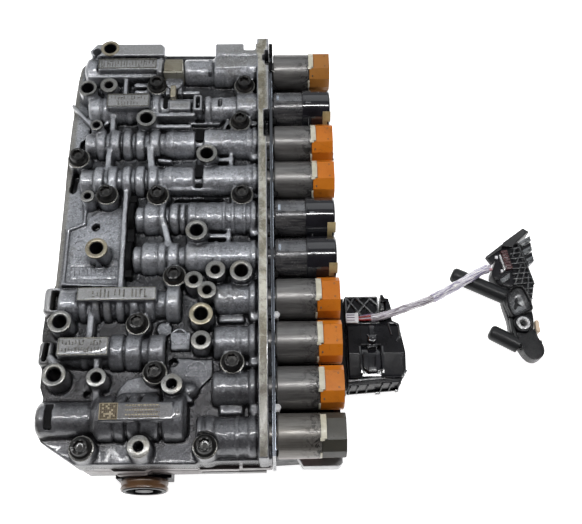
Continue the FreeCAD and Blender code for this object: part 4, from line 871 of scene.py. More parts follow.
pts, tris, quads = iso_surface(field, 0.012)
pts = pts * CELL + np.array([GX0, GY0, GZ0])
faces = [tuple(t) for t in tris.tolist()] + [tuple(q) for q in quads.tolist()]
cast_mesh = bpy.data.meshes.new("casting_surface")
cast_mesh.from_pydata(((pts + np.array([SX, SY, 0.0])) / 1000.0).tolist(), [], faces)
cast = bpy.data.objects.new("casting_surface", cast_mesh)
scene.collection.objects.link(cast)
bm = bmesh.new()
bm.from_mesh(cast_mesh)
bmesh.ops.remove_doubles(bm, verts=bm.verts[:], dist=0.00001)
bmesh.ops.recalc_face_normals(bm, faces=bm.faces[:])
bm.to_mesh(cast_mesh)
bm.free()
count = sum(len(p.vertices) - 2 for p in cast_mesh.polygons)
if count > 195000:
    dec = cast.modifiers.new("thin", "DECIMATE")
    dec.ratio = 193000.0 / count
    bpy.context.view_layer.update()
    dg = bpy.context.evaluated_depsgraph_get()
    slim = bpy.data.meshes.new_from_object(cast.evaluated_get(dg))
    cast.modifiers.clear()
    cast.data = slim
    cast_mesh = slim
print("casting triangles", count, "->", sum(len(p.vertices) - 2 for p in cast_mesh.polygons))
nv = len(cast_mesh.vertices)
co = np.empty(nv * 3, dtype=np.float32)
cast_mesh.vertices.foreach_get("co", co)
co = co.reshape(-1, 3) * 1000.0 - np.array([SX, SY, 0.0], dtype=np.float32)
h = CELL * 0.75
grad = np.stack([sample(field, co + d) - sample(field, co - d) for d in
                 (np.array([h, 0, 0]), np.array([0, h, 0]), np.array([0, 0, h]))], axis=1)
grad /= np.maximum(np.linalg.norm(grad, axis=1, keepdims=True), 1e-6)
cast_mesh.polygons.foreach_set("use_smooth", [True] * len(cast_mesh.polygons))
cast_mesh.normals_split_custom_set_from_vertices(grad.tolist())
# painted-shade masks: crease grows where the field closes in around a point (creases, corners, recesses); sunk grows
# below the smoothed tops and on the low floors between the rows
near = sample(field, co + grad * 1.6)
far = sample(field, co + grad * 3.6)
crease = np.clip(1.0 - near / 1.6, 0, 1) * 0.55 + np.clip(1.0 - far / 3.6, 0, 1) * 0.75
gi = np.clip(((co[:, 0] - GX0) / CELL).astype(int), 0, len(gx) - 1)
gj = np.clip(((co[:, 1] - GY0) / CELL).astype(int), 0, len(gy) - 1)
sunk = np.clip((wide_top[gi, gj] - co[:, 2] - 1.0) / 9.0, 0, 1)
floor_z = np.clip((61.9 - co[:, 2]) / 1.2, 0, 1) * (grad[:, 2] > 0.3) * ((co[:, 0] > -129.0) | (co[:, 1] < 99.0)) * np.clip((co[:, 1] + 1.0) / 4.0, 0, 1)
sunk = np.maximum(sunk, floor_z * 0.80)
edge = np.clip((co[:, 2] - near_top[gi, gj]) / 4.0, 0, 1)
flat_top = np.clip((grad[:, 2] - 0.965) / 0.03, 0, 1) * np.clip((co[:, 2] - 72.6) / 0.6, 0, 1)
strip = flat_top * (co[:, 0] > -38.4)
for name, val in (("crease", np.clip(crease, 0, 1)), ("sunk", sunk), ("edge", edge), ("worked", flat_top), ("strip", strip)):
    a = cast_mesh.attributes.new(name, "FLOAT", "POINT")
    a.data.foreach_set("value", val.astype(np.float32))


def casting_material(name, warm=0.0):
    n = Nodes(name)
    crease_f, sunk_f, edge_f, worked_f = n.attr("crease"), n.attr("sunk"), n.attr("edge"), n.attr("worked")
    tone = n.mix(n.span(n.noise(38.0, 5, 0.6), 0.3, 0.7), (0.128, 0.137, 0.156), (0.335, 0.350, 0.380))
    tone = n.mix(n.span(n.noise(15.0, 5, 0.65), 0.40, 0.66, 0.0, 0.50), tone, (0.070, 0.068, 0.068))
    grain = n.noise(760.0, 3, 0.65)
    tone = n.mix(n.span(grain, 0.50, 0.68, 0.0, 0.60), tone, (0.52, 0.53, 0.56))
    tone = n.mix(n.span(n.noise(470.0, 4, 0.75), 0.52, 0.64, 0.0, 0.75), tone, (0.035, 0.037, 0.043))
    # oil and old dirt
    olive = n.span(n.noise(26.0, 6, 0.75, distort=0.8), 0.56, 0.70, 0.0, 0.55)
    tone = n.mix(olive, tone, (0.085, 0.072, 0.046))
    tone = n.mix(n.span(n.axis(0), -0.1105, -0.1125, 0.0, 0.6), tone, (0.150, 0.132, 0.090))
    # painted shade: creases, hollows and the floors between the rows go near black, broken up by noise; it stands for
    # oily grime there as well
    low = n.math("ADD", n.math("MULTIPLY", crease_f, 0.95), n.math("MULTIPLY", sunk_f, 1.30), clamp=True)
    low = n.math("MULTIPLY", low, n.span(n.noise(95.0, 4, 0.7), 0.25, 0.75, 0.72, 1.1), clamp=True)
    tone = n.mix(low, tone, (0.006, 0.006, 0.007))
    tone = n.mix(n.math("MULTIPLY", edge_f, 0.45), tone, (0.50, 0.51, 0.54))
    # machined faces: beige grey with olive stains
    face = n.mix(n.span(n.noise(42.0, 6, 0.75, distort=0.8), 0.44, 0.56), (0.680, 0.660, 0.570), (0.185, 0.157, 0.092))
    face = n.mix(n.span(n.noise(240.0, 5, 0.75, distort=0.9), 0.52, 0.64, 0.0, 0.8), face, (0.070, 0.061, 0.040))
    face = n.mix(n.span(n.noise(900.0, 2, 0.6), 0.45, 0.7, 0.0, 0.35), face, (0.52, 0.52, 0.49))
    tone = n.mix(n.math("MULTIPLY", n.attr("strip"), 0.92), tone, face)
    tone = n.mix(n.math("MULTIPLY", worked_f, 0.42), tone, (0.130, 0.122, 0.095))
    # painted shade: the casting darkens towards its front (low Y)
    tone = n.mix(n.span(n.axis(1), -0.045, -0.115, 0.0, 0.60), tone, (0.030, 0.028, 0.030))
    rough = n.span(n.noise(140.0, 4, 0.7), 0.3, 0.7, 0.31, 0.48)
    rough = n.mix(low, rough, (0.24, 0.24, 0.24))
    norm = n.bump(n.noise(1150.0, 3, 0.7), 0.75, 0.00030)
    norm = n.bump(n.noise(300.0, 3, 0.6), 0.40, 0.00040, norm)
    skin = n.bump(n.noise(620.0, 3, 0.7), 0.22, 0.00012)
    wet = n.math("MULTIPLY", n.span(low, 0.15, 0.75, 1.0, 0.05), n.span(n.axis(1), -0.158, -0.128, 0.10, 1.0), clamp=True)
    wet = n.math("MULTIPLY", wet, n.span(n.attr("strip"), 0.0, 1.0, 1.0, 0.15))
    return n.finish(tone, rough, 0.56, norm, coat=wet, coat_rough=0.05, coat_normal=skin)


cast_mat = casting_material("cast_alloy")
cast_mesh.materials.clear()
cast_mesh.materials.append(cast_mat)
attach(cast, "root")
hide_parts("upper_casting")


# ---------------------------------------------------------- other materials
def worked_metal(name, c1, c2, dirt=(0.13, 0.11, 0.07), rough=0.34, metal=0.7, coat=0.4):
    n = Nodes(name)
    tone = n.mix(n.span(n.noise(70.0, 4, 0.6), 0.35, 0.65), c1, c2)
    tone = n.mix(n.span(n.noise(48.0, 6, 0.75, distort=0.7), 0.50, 0.68, 0.0, 0.75), tone, dirt)
    tone = n.mix(n.span(n.noise(1300.0, 2, 0.6), 0.42, 0.7, 0.0, 0.5), tone, (0.34, 0.34, 0.325))
    rs = n.span(n.noise(230.0, 4, 0.7), 0.3, 0.7, rough - 0.1, rough + 0.14)
    norm = n.bump(n.noise(1500.0, 3, 0.7), 0.30, 0.00008)
    return n.finish(tone, rs, metal, norm, coat=coat, coat_rough=0.12)


def can_material(name, c1, c2, smudge, amount, lower_flank_shade, metal=0.62, rough=0.36):
    """Drawn can: fine lines round it, black oily smudges on its right part, and a painted dark reddish shade and
    reflection on its lower flank.
    """
    n = Nodes(name)
    x = n.axis(0)
    tone = n.mix(n.span(n.noise(30.0, 4, 0.6, (1.0, 6.0, 6.0)), 0.3, 0.7), c1, c2)
    tone = n.mix(n.span(n.noise(900.0, 3, 0.6, (0.08, 1.0, 1.0)), 0.38, 0.70, 0.0, 0.35), tone, (0.30, 0.29, 0.28))
    right_part = n.span(x, (SX - 14.0) / 1000.0, (SX - 2.0) / 1000.0)
    oil = n.math("MULTIPLY", n.span(n.noise(150.0, 6, 0.72, distort=1.6), 0.50, 0.57), right_part)
    tone = n.mix(n.math("MULTIPLY", oil, amount), tone, smudge)
    # painted shade and reflection: the lower flank goes dark and reddish
    tone = n.mix(n.span(n.axis(2), 0.052, 0.064, 0.55, 0.0), tone, lower_flank_shade)
    rs = n.span(n.noise(160.0, 4, 0.7), 0.3, 0.7, rough - 0.08, rough + 0.10)
    norm = n.bump(n.noise(800.0, 3, 0.65, (0.15, 1.0, 1.0)), 0.22, 0.00006)
    norm = n.bump(oil, 0.35 * amount, 0.00018, norm)
    return n.finish(tone, rs, metal, norm, coat=0.20, coat_rough=0.06)


def cap_material(name, c1, c2, dark, amount=0.4):
    n = Nodes(name)
    tone = n.mix(n.span(n.noise(34.0, 4, 0.6), 0.3, 0.7), c1, c2)
    tone = n.mix(n.span(n.noise(120.0, 6, 0.75, distort=1.1), 0.56, 0.72, 0.0, amount), tone, dark)
    tone = n.mix(n.span(n.noise(30.0, 5, 0.7), 0.55, 0.75, 0.0, amount * 0.7), tone, dark)
    rs = n.span(n.noise(140.0, 4, 0.7), 0.3, 0.7, 0.26, 0.46)
    norm = n.bump(n.noise(1400.0, 3, 0.6), 0.25, 0.00006)
    n.bsdf.inputs["Subsurface Weight"].default_value = 0.06
    n.bsdf.inputs["Subsurface Radius"].default_value = (0.002, 0.001, 0.0006)
    return n.finish(tone, rs, 0.0, norm, coat=0.12, coat_rough=0.10, spec=0.2)


ring_mat = worked_metal("machined_ring", (0.175, 0.175, 0.170), (0.105, 0.105, 0.100))
stain_ring_mat = worked_metal("stained_ring", (0.30, 0.27, 0.19), (0.20, 0.165, 0.10), (0.11, 0.085, 0.045))
pad_mat = worked_metal("label_face", (0.120, 0.117, 0.100), (0.060, 0.055, 0.040), (0.125, 0.105, 0.055), 0.36)
etch_mat = plain("etched_mark", (0.095, 0.068, 0.036), (0.052, 0.037, 0.020), 0.5, 0.2, blotch=300.0, grain=1500.0)
etch_lite = plain("etched_lines", (0.36, 0.31, 0.21), (0.24, 0.20, 0.13), 0.5, 0.2, blotch=300.0, grain=1500.0)
bolt_mat = plain("phosphate_bolt", (0.006, 0.006, 0.006), (0.018, 0.017, 0.016), 0.36, 0.1, 900.0, 0.3, 0.00008, 0.16, 0.06, 140.0,
                 dirt=(0.016, 0.012, 0.008), spec=0.2)
bolt_dark = plain("bolt_socket", (0.012, 0.012, 0.012), (0.030, 0.028, 0.026), 0.35, 0.4, 900.0, 0.3, 0.00008, 0.7, 0.1, 140.0)
seat_mat = worked_metal("bolt_seat", (0.11, 0.107, 0.098), (0.065, 0.062, 0.054), (0.055, 0.045, 0.03), 0.3)
# the last colour of each can material is its painted lower-flank shade and reflection
cans_mat = can_material("drawn_can", (0.100, 0.098, 0.097), (0.165, 0.160, 0.155), (0.022, 0.021, 0.020), 0.85, (0.105, 0.060, 0.060))
front_can_mat = can_material("front_can", (0.125, 0.118, 0.106), (0.180, 0.168, 0.152), (0.016, 0.015, 0.014), 0.95, (0.230, 0.105, 0.100))
dark_can_mat = can_material("black_can", (0.022, 0.022, 0.026), (0.045, 0.045, 0.050), (0.010, 0.010, 0.012), 0.5, (0.020, 0.012, 0.014), 0.3, 0.24)
label_mat = plain("can_label", (0.085, 0.088, 0.095), (0.150, 0.152, 0.160), 0.33, 0.5, 1100.0, 0.35, 0.00008, 0.6, 0.08, 160.0,
                  dirt=(0.02, 0.02, 0.022))
orange_mat = cap_material("orange_plastic", (0.470, 0.130, 0.008), (0.570, 0.180, 0.016), (0.110, 0.036, 0.008), 0.6)
ochre_mat = cap_material("ochre_plastic", (0.300, 0.122, 0.024), (0.370, 0.155, 0.034), (0.150, 0.070, 0.025), 0.5)
grey_cap_mat = cap_material("grey_plastic", (0.040, 0.038, 0.031), (0.062, 0.058, 0.048), (0.028, 0.026, 0.022), 0.9)
foot_mat = plain("grey_foot", (0.46, 0.46, 0.465), (0.56, 0.56, 0.565), 0.42, 0.0, 1100.0, 0.25, 0.00006, 0.3, 0.12, 60.0, dirt=(0.10, 0.09, 0.08))
gloss_mat = plain("gloss_black", (0.006, 0.006, 0.008), (0.014, 0.014, 0.018), 0.14, 0.0, 700.0, 0.12, 0.00005, 0.9, 0.035, 70.0, rough_var=0.06)
tan_mat = plain("tan_tab", (0.42, 0.33, 0.17), (0.30, 0.225, 0.105), 0.4, 0.0, 1100.0, 0.25, 0.00006, 0.35, 0.1, 120.0, dirt=(0.10, 0.07, 0.03))
cream_mat = plain("cream_tab", (0.60, 0.575, 0.47), (0.47, 0.44, 0.34), 0.42, 0.0, 1100.0, 0.25, 0.00006, 0.3, 0.12, 130.0,
                  dirt=(0.20, 0.17, 0.11), dirt_span=(0.58, 0.78))
damper_mat = plain("damper_cover", (0.170, 0.155, 0.112), (0.115, 0.102, 0.070), 0.34, 0.35, 800.0, 0.2, 0.00006, 0.5, 0.1, 60.0,
                   dirt=(0.09, 0.07, 0.035))
lip_mat = plain("damper_lip", (0.44, 0.43, 0.37), (0.33, 0.315, 0.25), 0.32, 0.4, 800.0, 0.2, 0.00006, 0.5, 0.1, 80.0)
black_plastic = plain("moulded_black", (0.006, 0.006, 0.007), (0.014, 0.014, 0.017), 0.36, 0.0, 1300.0, 0.35, 0.00008, 0.12, 0.06, 60.0, spec=0.10, wet=0.35)
housing_mat = plain("housing_plastic", (0.006, 0.006, 0.007), (0.013, 0.013, 0.016), 0.30, 0.0, 1500.0, 0.30, 0.00007, 0.10, 0.05, 40.0, spec=0.10,
                    dirt=(0.024, 0.024, 0.026), dirt_span=(0.60, 0.85))
dusty_black = plain("speckled_black", (0.005, 0.005, 0.006), (0.014, 0.014, 0.015), 0.30, 0.0, 1700.0, 0.8, 0.00022, 0.28, 0.06, 420.0,
                    dirt=(0.34, 0.34, 0.33), dirt_span=(0.69, 0.73), fine=800.0, wet=1.0, spec=0.1)
rib_mat = plain("worn_rib", (0.020, 0.021, 0.023), (0.12, 0.124, 0.128), 0.30, 0.0, 1300.0, 0.3, 0.00006, 0.6, 0.06, 260.0, wet=0.5)
stick_mat = plain("stick_plastic", (0.010, 0.011, 0.012), (0.018, 0.019, 0.020), 0.40, 0.0, 1200.0, 0.25, 0.00006, 0.12, 0.2, 50.0, spec=0.22)
block_mat = plain("socket_grey", (0.012, 0.012, 0.013), (0.024, 0.025, 0.026), 0.36, 0.0, 1200.0, 0.3, 0.00006, 0.2, 0.2, 60.0)
maroon_mat = plain("maroon_lock", (0.038, 0.006, 0.008), (0.070, 0.012, 0.014), 0.32, 0.0, 1100.0, 0.25, 0.00006, 0.5, 0.1, 120.0)
silver_mat = plain("bright_metal", (0.55, 0.55, 0.55), (0.70, 0.70, 0.70), 0.25, 0.85, 1200.0, 0.25, 0.00006, 0.2, 0.1, 180.0,
                   dirt=(0.18, 0.17, 0.16), dirt_span=(0.60, 0.75))
fin_mat = plain("contact_fin", (0.20, 0.21, 0.22), (0.05, 0.053, 0.056), 0.26, 0.5, 1200.0, 0.6, 0.00016, 0.8, 0.06, 330.0, wet=1.0,
                dirt=(0.05, 0.05, 0.055), dirt_span=(0.55, 0.68))
white_mat = plain("white_plug", (0.66, 0.67, 0.70), (0.80, 0.80, 0.82), 0.35, 0.0, 1100.0, 0.2, 0.00005, 0.4, 0.1, 70.0,
                  dirt=(0.42, 0.40, 0.44), dirt_span=(0.58, 0.8))
red_mat = plain("red_wire", (0.21, 0.012, 0.014), (0.32, 0.030, 0.028), 0.3, 0.0, 1100.0, 0.2, 0.00005, 0.5, 0.1, 150.0)
violet_mat = plain("violet_wire", (0.20, 0.13, 0.22), (0.12, 0.07, 0.15), 0.32, 0.0, 1100.0, 0.2, 0.00005, 0.5, 0.1, 150.0)
pink_mat = plain("pink_sleeve", (0.62, 0.33, 0.36), (0.72, 0.46, 0.50), 0.32, 0.0, 1100.0, 0.2, 0.00005, 0.4, 0.1, 150.0)
beige_mat = plain("beige_pin", (0.62, 0.47, 0.32), (0.72, 0.57, 0.42), 0.4, 0.0, 1100.0, 0.2, 0.00006, 0.3, 0.1, 90.0, dirt=(0.34, 0.22, 0.14))
brown_mat = plain("brown_ring", (0.125, 0.062, 0.026), (0.075, 0.036, 0.015), 0.36, 0.0, 900.0, 0.25, 0.00008, 0.5, 0.12, 90.0,
                  dirt=(0.20, 0.12, 0.05), dirt_span=(0.55, 0.7))
holder_mat = plain("holder_steel", (0.030, 0.034, 0.042), (0.070, 0.076, 0.088), 0.30, 0.6, 900.0, 0.25, 0.00006, 0.6, 0.08, 60.0,
                   dirt=(0.012, 0.012, 0.014), stretch=(1.0, 0.25, 1.0))
edge_mat = plain("bright_edge", (0.50, 0.55, 0.62), (0.30, 0.34, 0.40), 0.22, 0.8, 900.0, 0.25, 0.00006, 0.4, 0.08, 110.0,
                 dirt=(0.08, 0.085, 0.10), dirt_span=(0.50, 0.62), stretch=(1.0, 0.6, 1.0))
lower_mat = plain("lower_casting", (0.130, 0.112, 0.110), (0.200, 0.178, 0.174), 0.42, 0.4, 800.0, 0.4, 0.00016, 0.35, 0.15, 45.0,
                  dirt=(0.060, 0.046, 0.043))
plate_mat = plain("separator_sheet", (0.18, 0.155, 0.152), (0.26, 0.232, 0.228), 0.34, 0.7, 900.0, 0.2, 0.00006, 0.3, 0.15, 40.0, dirt=(0.07, 0.055, 0.05))
sink_mat = plain("sink_alloy", (0.24, 0.235, 0.235), (0.32, 0.315, 0.315), 0.36, 0.7, 900.0, 0.3, 0.0001, 0.2, 0.2, 40.0, dirt=(0.20, 0.19, 0.18))
spool_mat = plain("spool_alloy", (0.050, 0.050, 0.053), (0.095, 0.095, 0.100), 0.28, 0.7, 900.0, 0.2, 0.00005, 0.3, 0.1, 60.0)
spring_mat = plain("spring_wire", (0.36, 0.36, 0.37), (0.48, 0.48, 0.49), 0.3, 0.9, 900.0, 0.2, 0.00005, 0.3, 0.1, 60.0)
scoop_mat = plain("scoop_gloss", (0.070, 0.072, 0.076), (0.200, 0.205, 0.212), 0.24, 0.35, 1500.0, 0.5, 0.00012, 0.9, 0.06, 260.0,
                  dirt=(0.30, 0.30, 0.30), dirt_span=(0.62, 0.72), wet=0.7)
# near black and barely reflecting: the clips' dark colour and painted shade of the slots and gaps these pieces sit in
clip_shade_mat = plain("clip_black", (0.003, 0.003, 0.003), (0.008, 0.008, 0.009), 0.5, 0.0, 1100.0, 0.3, 0.00008, 0.0, 0.1, 90.0, spec=0.06)


def sleeve_material(name, c1, c2, dark, light, shade=0.8):
    """Clear sleeve over wires: streaks that run along it."""
    n = Nodes(name)
    plain_co = n.coord
    att = n.tree.nodes.new("ShaderNodeAttribute")
    att.attribute_name = "tube_co"
    n.coord = att.outputs["Vector"]
    tone = n.mix(n.span(n.noise(1.6, 3, 0.6), 0.38, 0.62), c1, c2)
    tone = n.mix(n.span(n.noise(3.4, 3, 0.6, distort=0.3), 0.49, 0.55, 0.0, shade), tone, dark)
    tone = n.mix(n.span(n.noise(5.0, 3, 0.6), 0.52, 0.58, 0.0, 0.9), tone, light)
    wrinkle = n.noise(3.0, 4, 0.6, (1.0, 1.0, 6.0), 0.6)
    n.coord = plain_co
    rs = n.span(n.noise(200.0, 3, 0.6), 0.3, 0.7, 0.12, 0.26)
    norm = n.bump(wrinkle, 0.5, 0.0006)
    norm = n.bump(n.noise(900.0, 3, 0.6), 0.2, 0.00008, norm)
    return n.finish(tone, rs, 0.0, norm, coat=0.9, coat_rough=0.05)


sleeve_mat = sleeve_material("clear_sleeve", (0.34, 0.31, 0.35), (0.47, 0.43, 0.50), (0.10, 0.075, 0.09), (0.85, 0.84, 0.86))
outer_mat = sleeve_material("outer_clear_sleeve", (0.50, 0.47, 0.62), (0.72, 0.70, 0.76), (0.16, 0.13, 0.26), (1.0, 0.98, 0.95), 0.8)
sleeve.data.materials.append(sleeve_mat)


def paint(node, mat, bevel=0.0, segs=2, angle=35.0):
    """Gives a carried-over node its material, and eased edges if asked."""
    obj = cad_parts[node]
    if not obj.material_slots:
        obj.data.materials.append(mat)
    for s in obj.material_slots:
        s.material = mat
    if bevel:
        weld = obj.modifiers.new("weld", "WELD")
        weld.merge_threshold = 0.00002
        m = obj.modifiers.new("eased", "BEVEL")
        m.width = bevel / 1000.0
        m.segments = segs
        m.limit_method = "ANGLE"
        m.angle_limit = math.radians(angle)
        m.harden_normals = True
    return obj


# ----------------------------------------------------------- bosses and marks
BROWN_RINGS = {(-143.9, 122.5), (-147.1, 287.2), (-74.1, 75.4)}
rings_p = Piece("boss_rings", [ring_mat, stain_ring_mat, black_plastic, seat_mat])
for (x, y, r) in CASE_BOSSES:
    k = 1 if (x, y) in BROWN_RINGS else 0
    rings_p.add(lathe([(-2.6, r - 0.3), (-1.6, r + 0.02), (-0.5, r), (-0.12, r - 0.22), (0.0, r - 0.6), (0.0, 5.0), (-0.25, 4.62),
                       (-0.9, 4.4), (-2.2, 4.4)], (x, y, 75.0), segs=64, loop=True), k)
    # painted shade: a black liner down the hole darkens it
    rings_p.add(lathe([(-1.0, 4.42), (-1.0, 4.2), (-22.0, 4.2), (-22.0, 4.6)], (x, y, 75.0), segs=40, loop=True), 2)
for (x, y, r, h) in SMALL_BOSSES:
    rings_p.add(lathe([(-2.6, r - 0.3), (-1.6, r + 0.02), (-0.5, r), (-0.12, r - 0.2), (0.0, r - 0.5), (0.0, h + 0.55), (-0.3, h + 0.2),
                       (-0.9, h + 0.06), (-2.2, h + 0.06)], (x, y, 74.5), segs=52, loop=True), 0)
    # painted shade: a black liner down the hole darkens it
    rings_p.add(lathe([(-1.0, h + 0.05), (-1.0, h), (-13.0, h), (-13.0, h + 0.4)], (x, y, 74.5), segs=32, loop=True), 2)
for (x, y, seat) in BOLTS:
    rings_p.add(lathe([(-1.6, 7.5), (-0.5, 7.72), (0.0, 7.55), (0.12, 7.3), (0.12, 6.2), (-1.6, 6.2)], (x, y, seat), segs=56, loop=True), 3)
rings_p.make()

# raised frames and plain raised bars on the label pads
marks = Piece("label_marks", [pad_mat, etch_mat, etch_lite, cast_mat], sharp=50)
rnd = random.Random(7)


def frame_bars(x0, x1, y0, y1, z0, z1, w, mat=0):
    marks.add(rbox(x0, x1, y1 - w, y1, z0, z1, 0.18, 2), mat)
    marks.add(rbox(x0, x1, y0, y0 + w, z0, z1, 0.18, 2), mat)
    marks.add(rbox(x0, x0 + w, y0, y1, z0, z1, 0.18, 2), mat)
    marks.add(rbox(x1 - w, x1, y0, y1, z0, z1, 0.18, 2), mat)


def tally(x0, x1, y0, y1, z0, z1, pitch, thick, mat=0):
    """A row of plain raised bars of uneven height."""
    x = x0
    while x < x1 - thick:
        a = y0 + rnd.choice((0.0, 0.0, 0.25, 0.45)) * (y1 - y0)
        b = y1 - rnd.choice((0.0, 0.0, 0.2, 0.4)) * (y1 - y0)
        if b - a < 0.35 * (y1 - y0):
            a, b = y0, y1
        marks.add(rbox(x, x + thick, a, b, z0, z1, 0.14, 1), mat)
        if rnd.random() < 0.45:
            yy = rnd.choice((y0, (y0 + y1) / 2 - thick / 2, y1 - thick))
            marks.add(rbox(x, x + pitch * 0.7, yy, yy + thick, z0, z1, 0.12, 1), mat)
        x += pitch * rnd.uniform(0.85, 1.2)


frame_bars(-154.3, -112.0, 268.4, 276.9, 74.7, 75.55, 0.8)
tally(-152.4, -114.0, 270.1, 275.2, 74.8, 75.45, 2.1, 0.6)
frame_bars(-145.6, -115.8, 234.6, 245.4, 74.7, 75.5, 0.7)
tally(-143.0, -118.0, 240.8, 243.8, 74.8, 75.4, 2.3, 0.55)
tally(-138.0, -123.0, 236.3, 239.3, 74.8, 75.4, 2.3, 0.55)
for (a, b) in ((-143.8, -133.0), (-129.6, -122.0), (-118.6, -108.4)):
    tally(a, b, 87.2, 92.6, 74.8, 75.65, 2.5, 0.75)
frame_bars(-153.2, -103.4, 85.5, 94.1, 74.6, 75.15, 0.55)
frame_bars(-162.0, -131.2, 48.9, 60.3, 74.6, 75.35, 0.7)
tally(-159.6, -145.4, 55.4, 58.6, 74.8, 75.5, 1.9, 0.6)
tally(-142.0, -134.0, 55.4, 58.6, 74.8, 75.5, 1.9, 0.6)
tally(-159.6, -134.0, 50.7, 53.9, 74.8, 75.5, 1.9, 0.6)
# etched square of cells and etched lines on the front housing
marks.add(rbox(-133.2, -122.0, 8.2, 18.4, 75.2, 75.47, 0.08, 1), 2)
for i in range(9):
    for j in range(8):
        if rnd.random() < 0.56 or i in (0, 8):
            marks.add(rbox(-132.6 + 1.14 * i, -132.6 + 1.14 * i + 1.08, 8.8 + 1.14 * j, 8.8 + 1.14 * j + 1.08, 75.3, 75.51, 0.04, 1), 1)
for j, (a, b, m) in enumerate(((-117.5, -96.8, 2), (-113.5, -96.8, 1), (-117.5, -99.5, 2), (-112.0, -96.8, 1), (-117.5, -98.0, 2), (-115.5, -96.8, 1))):
    y = 16.4 - 1.45 * j
    x = a
    while x < b:
        wdt = rnd.uniform(0.7, 1.9)
        marks.add(rbox(x, min(x + wdt, b), y, y + 0.8, 75.25, 75.48, 0.05, 1), m)
        x += wdt + rnd.uniform(0.25, 0.6)
# low-raised plain marks on the floor pads
marks.add(lathe([(0.0, 5.4), (0.45, 5.3), (0.5, 5.1), (0.5, 4.7), (0.4, 4.55), (0.0, 4.5)], (-87.6, 61.4, 70.5), segs=48, loop=True), 3)
marks.add(lathe([(0.0, 4.1), (0.4, 4.0), (0.4, 3.6), (0.0, 3.5)], (-158.4, 131.6, 60.2), segs=36, loop=True), 3)
tally(-161.0, -155.5, 122.0, 124.6, 60.2, 60.7, 1.8, 0.5, 3)
tally(-160.6, -135.0, 109.0, 113.6, 60.2, 60.7, 2.6, 0.55, 3)
for k in range(13):
    t0, t1 = math.pi * k / 13, math.pi * (k + 1) / 13
    marks.add(slab_bar((-77.0 + 6.2 * math.cos(t0), 42.4 + 5.6 * math.sin(t0)), (-77.0 + 6.2 * math.cos(t1), 42.4 + 5.6 * math.sin(t1)), 0.7, 61.2, 61.8, 0.12), 3)
marks.add(slab_bar((-83.6, 42.0), (-70.4, 42.0), 0.7, 61.2, 61.8, 0.12), 3)
marks.add(slab_bar((-83.4, 38.6), (-70.6, 38.6), 0.7, 61.2, 61.8, 0.12), 3)
marks.add(slab_bar((-83.4, 38.6), (-83.4, 42.0), 0.7, 61.2, 61.8, 0.12), 3)
marks.add(slab_bar((-70.6, 38.6), (-70.6, 42.0), 0.7, 61.2, 61.8, 0.12), 3)
marks.make()

# --------------------------------------------------------------------- bolts
bolts = Piece("star_bolts", [bolt_mat, bolt_dark], sharp=30)


for i, (x, y, seat) in enumerate(BOLTS):
    a = math.radians(17 * i)
    turn = (lambda a: (lambda t, k: 1.0 - 0.15 * (0.5 - 0.5 * math.cos(6 * (t + a))) if k >= 10 else 1.0))(a)
    outer = [(-0.3, 5.9), (0.05, 6.5), (0.45, 6.85), (1.1, 6.9), (1.5, 6.72), (1.9, 6.1), (2.45, 5.45), (3.1, 5.22), (5.5, 5.12), (6.15, 4.75),
             (6.35, 3.95), (6.2, 3.5), (5.7, 3.3), (3.3, 3.25)]
    bolts.add(lathe(outer, (x, y, seat), segs=60, shape=turn, loop=False), 0)
    bolts.add(lathe([(3.0, 3.4), (3.42, 3.4), (3.5, 3.0), (3.3, 1.5), (3.2, 0.4)], (x, y, seat), segs=36), 1)
    bolts.add(lathe([(-(seat - 25.0), 2.5), (-(seat - 26.0), 3.0), (0.2, 3.0)], (x, y, seat), segs=20), 0)
bolts.make(["casting_bolts"])

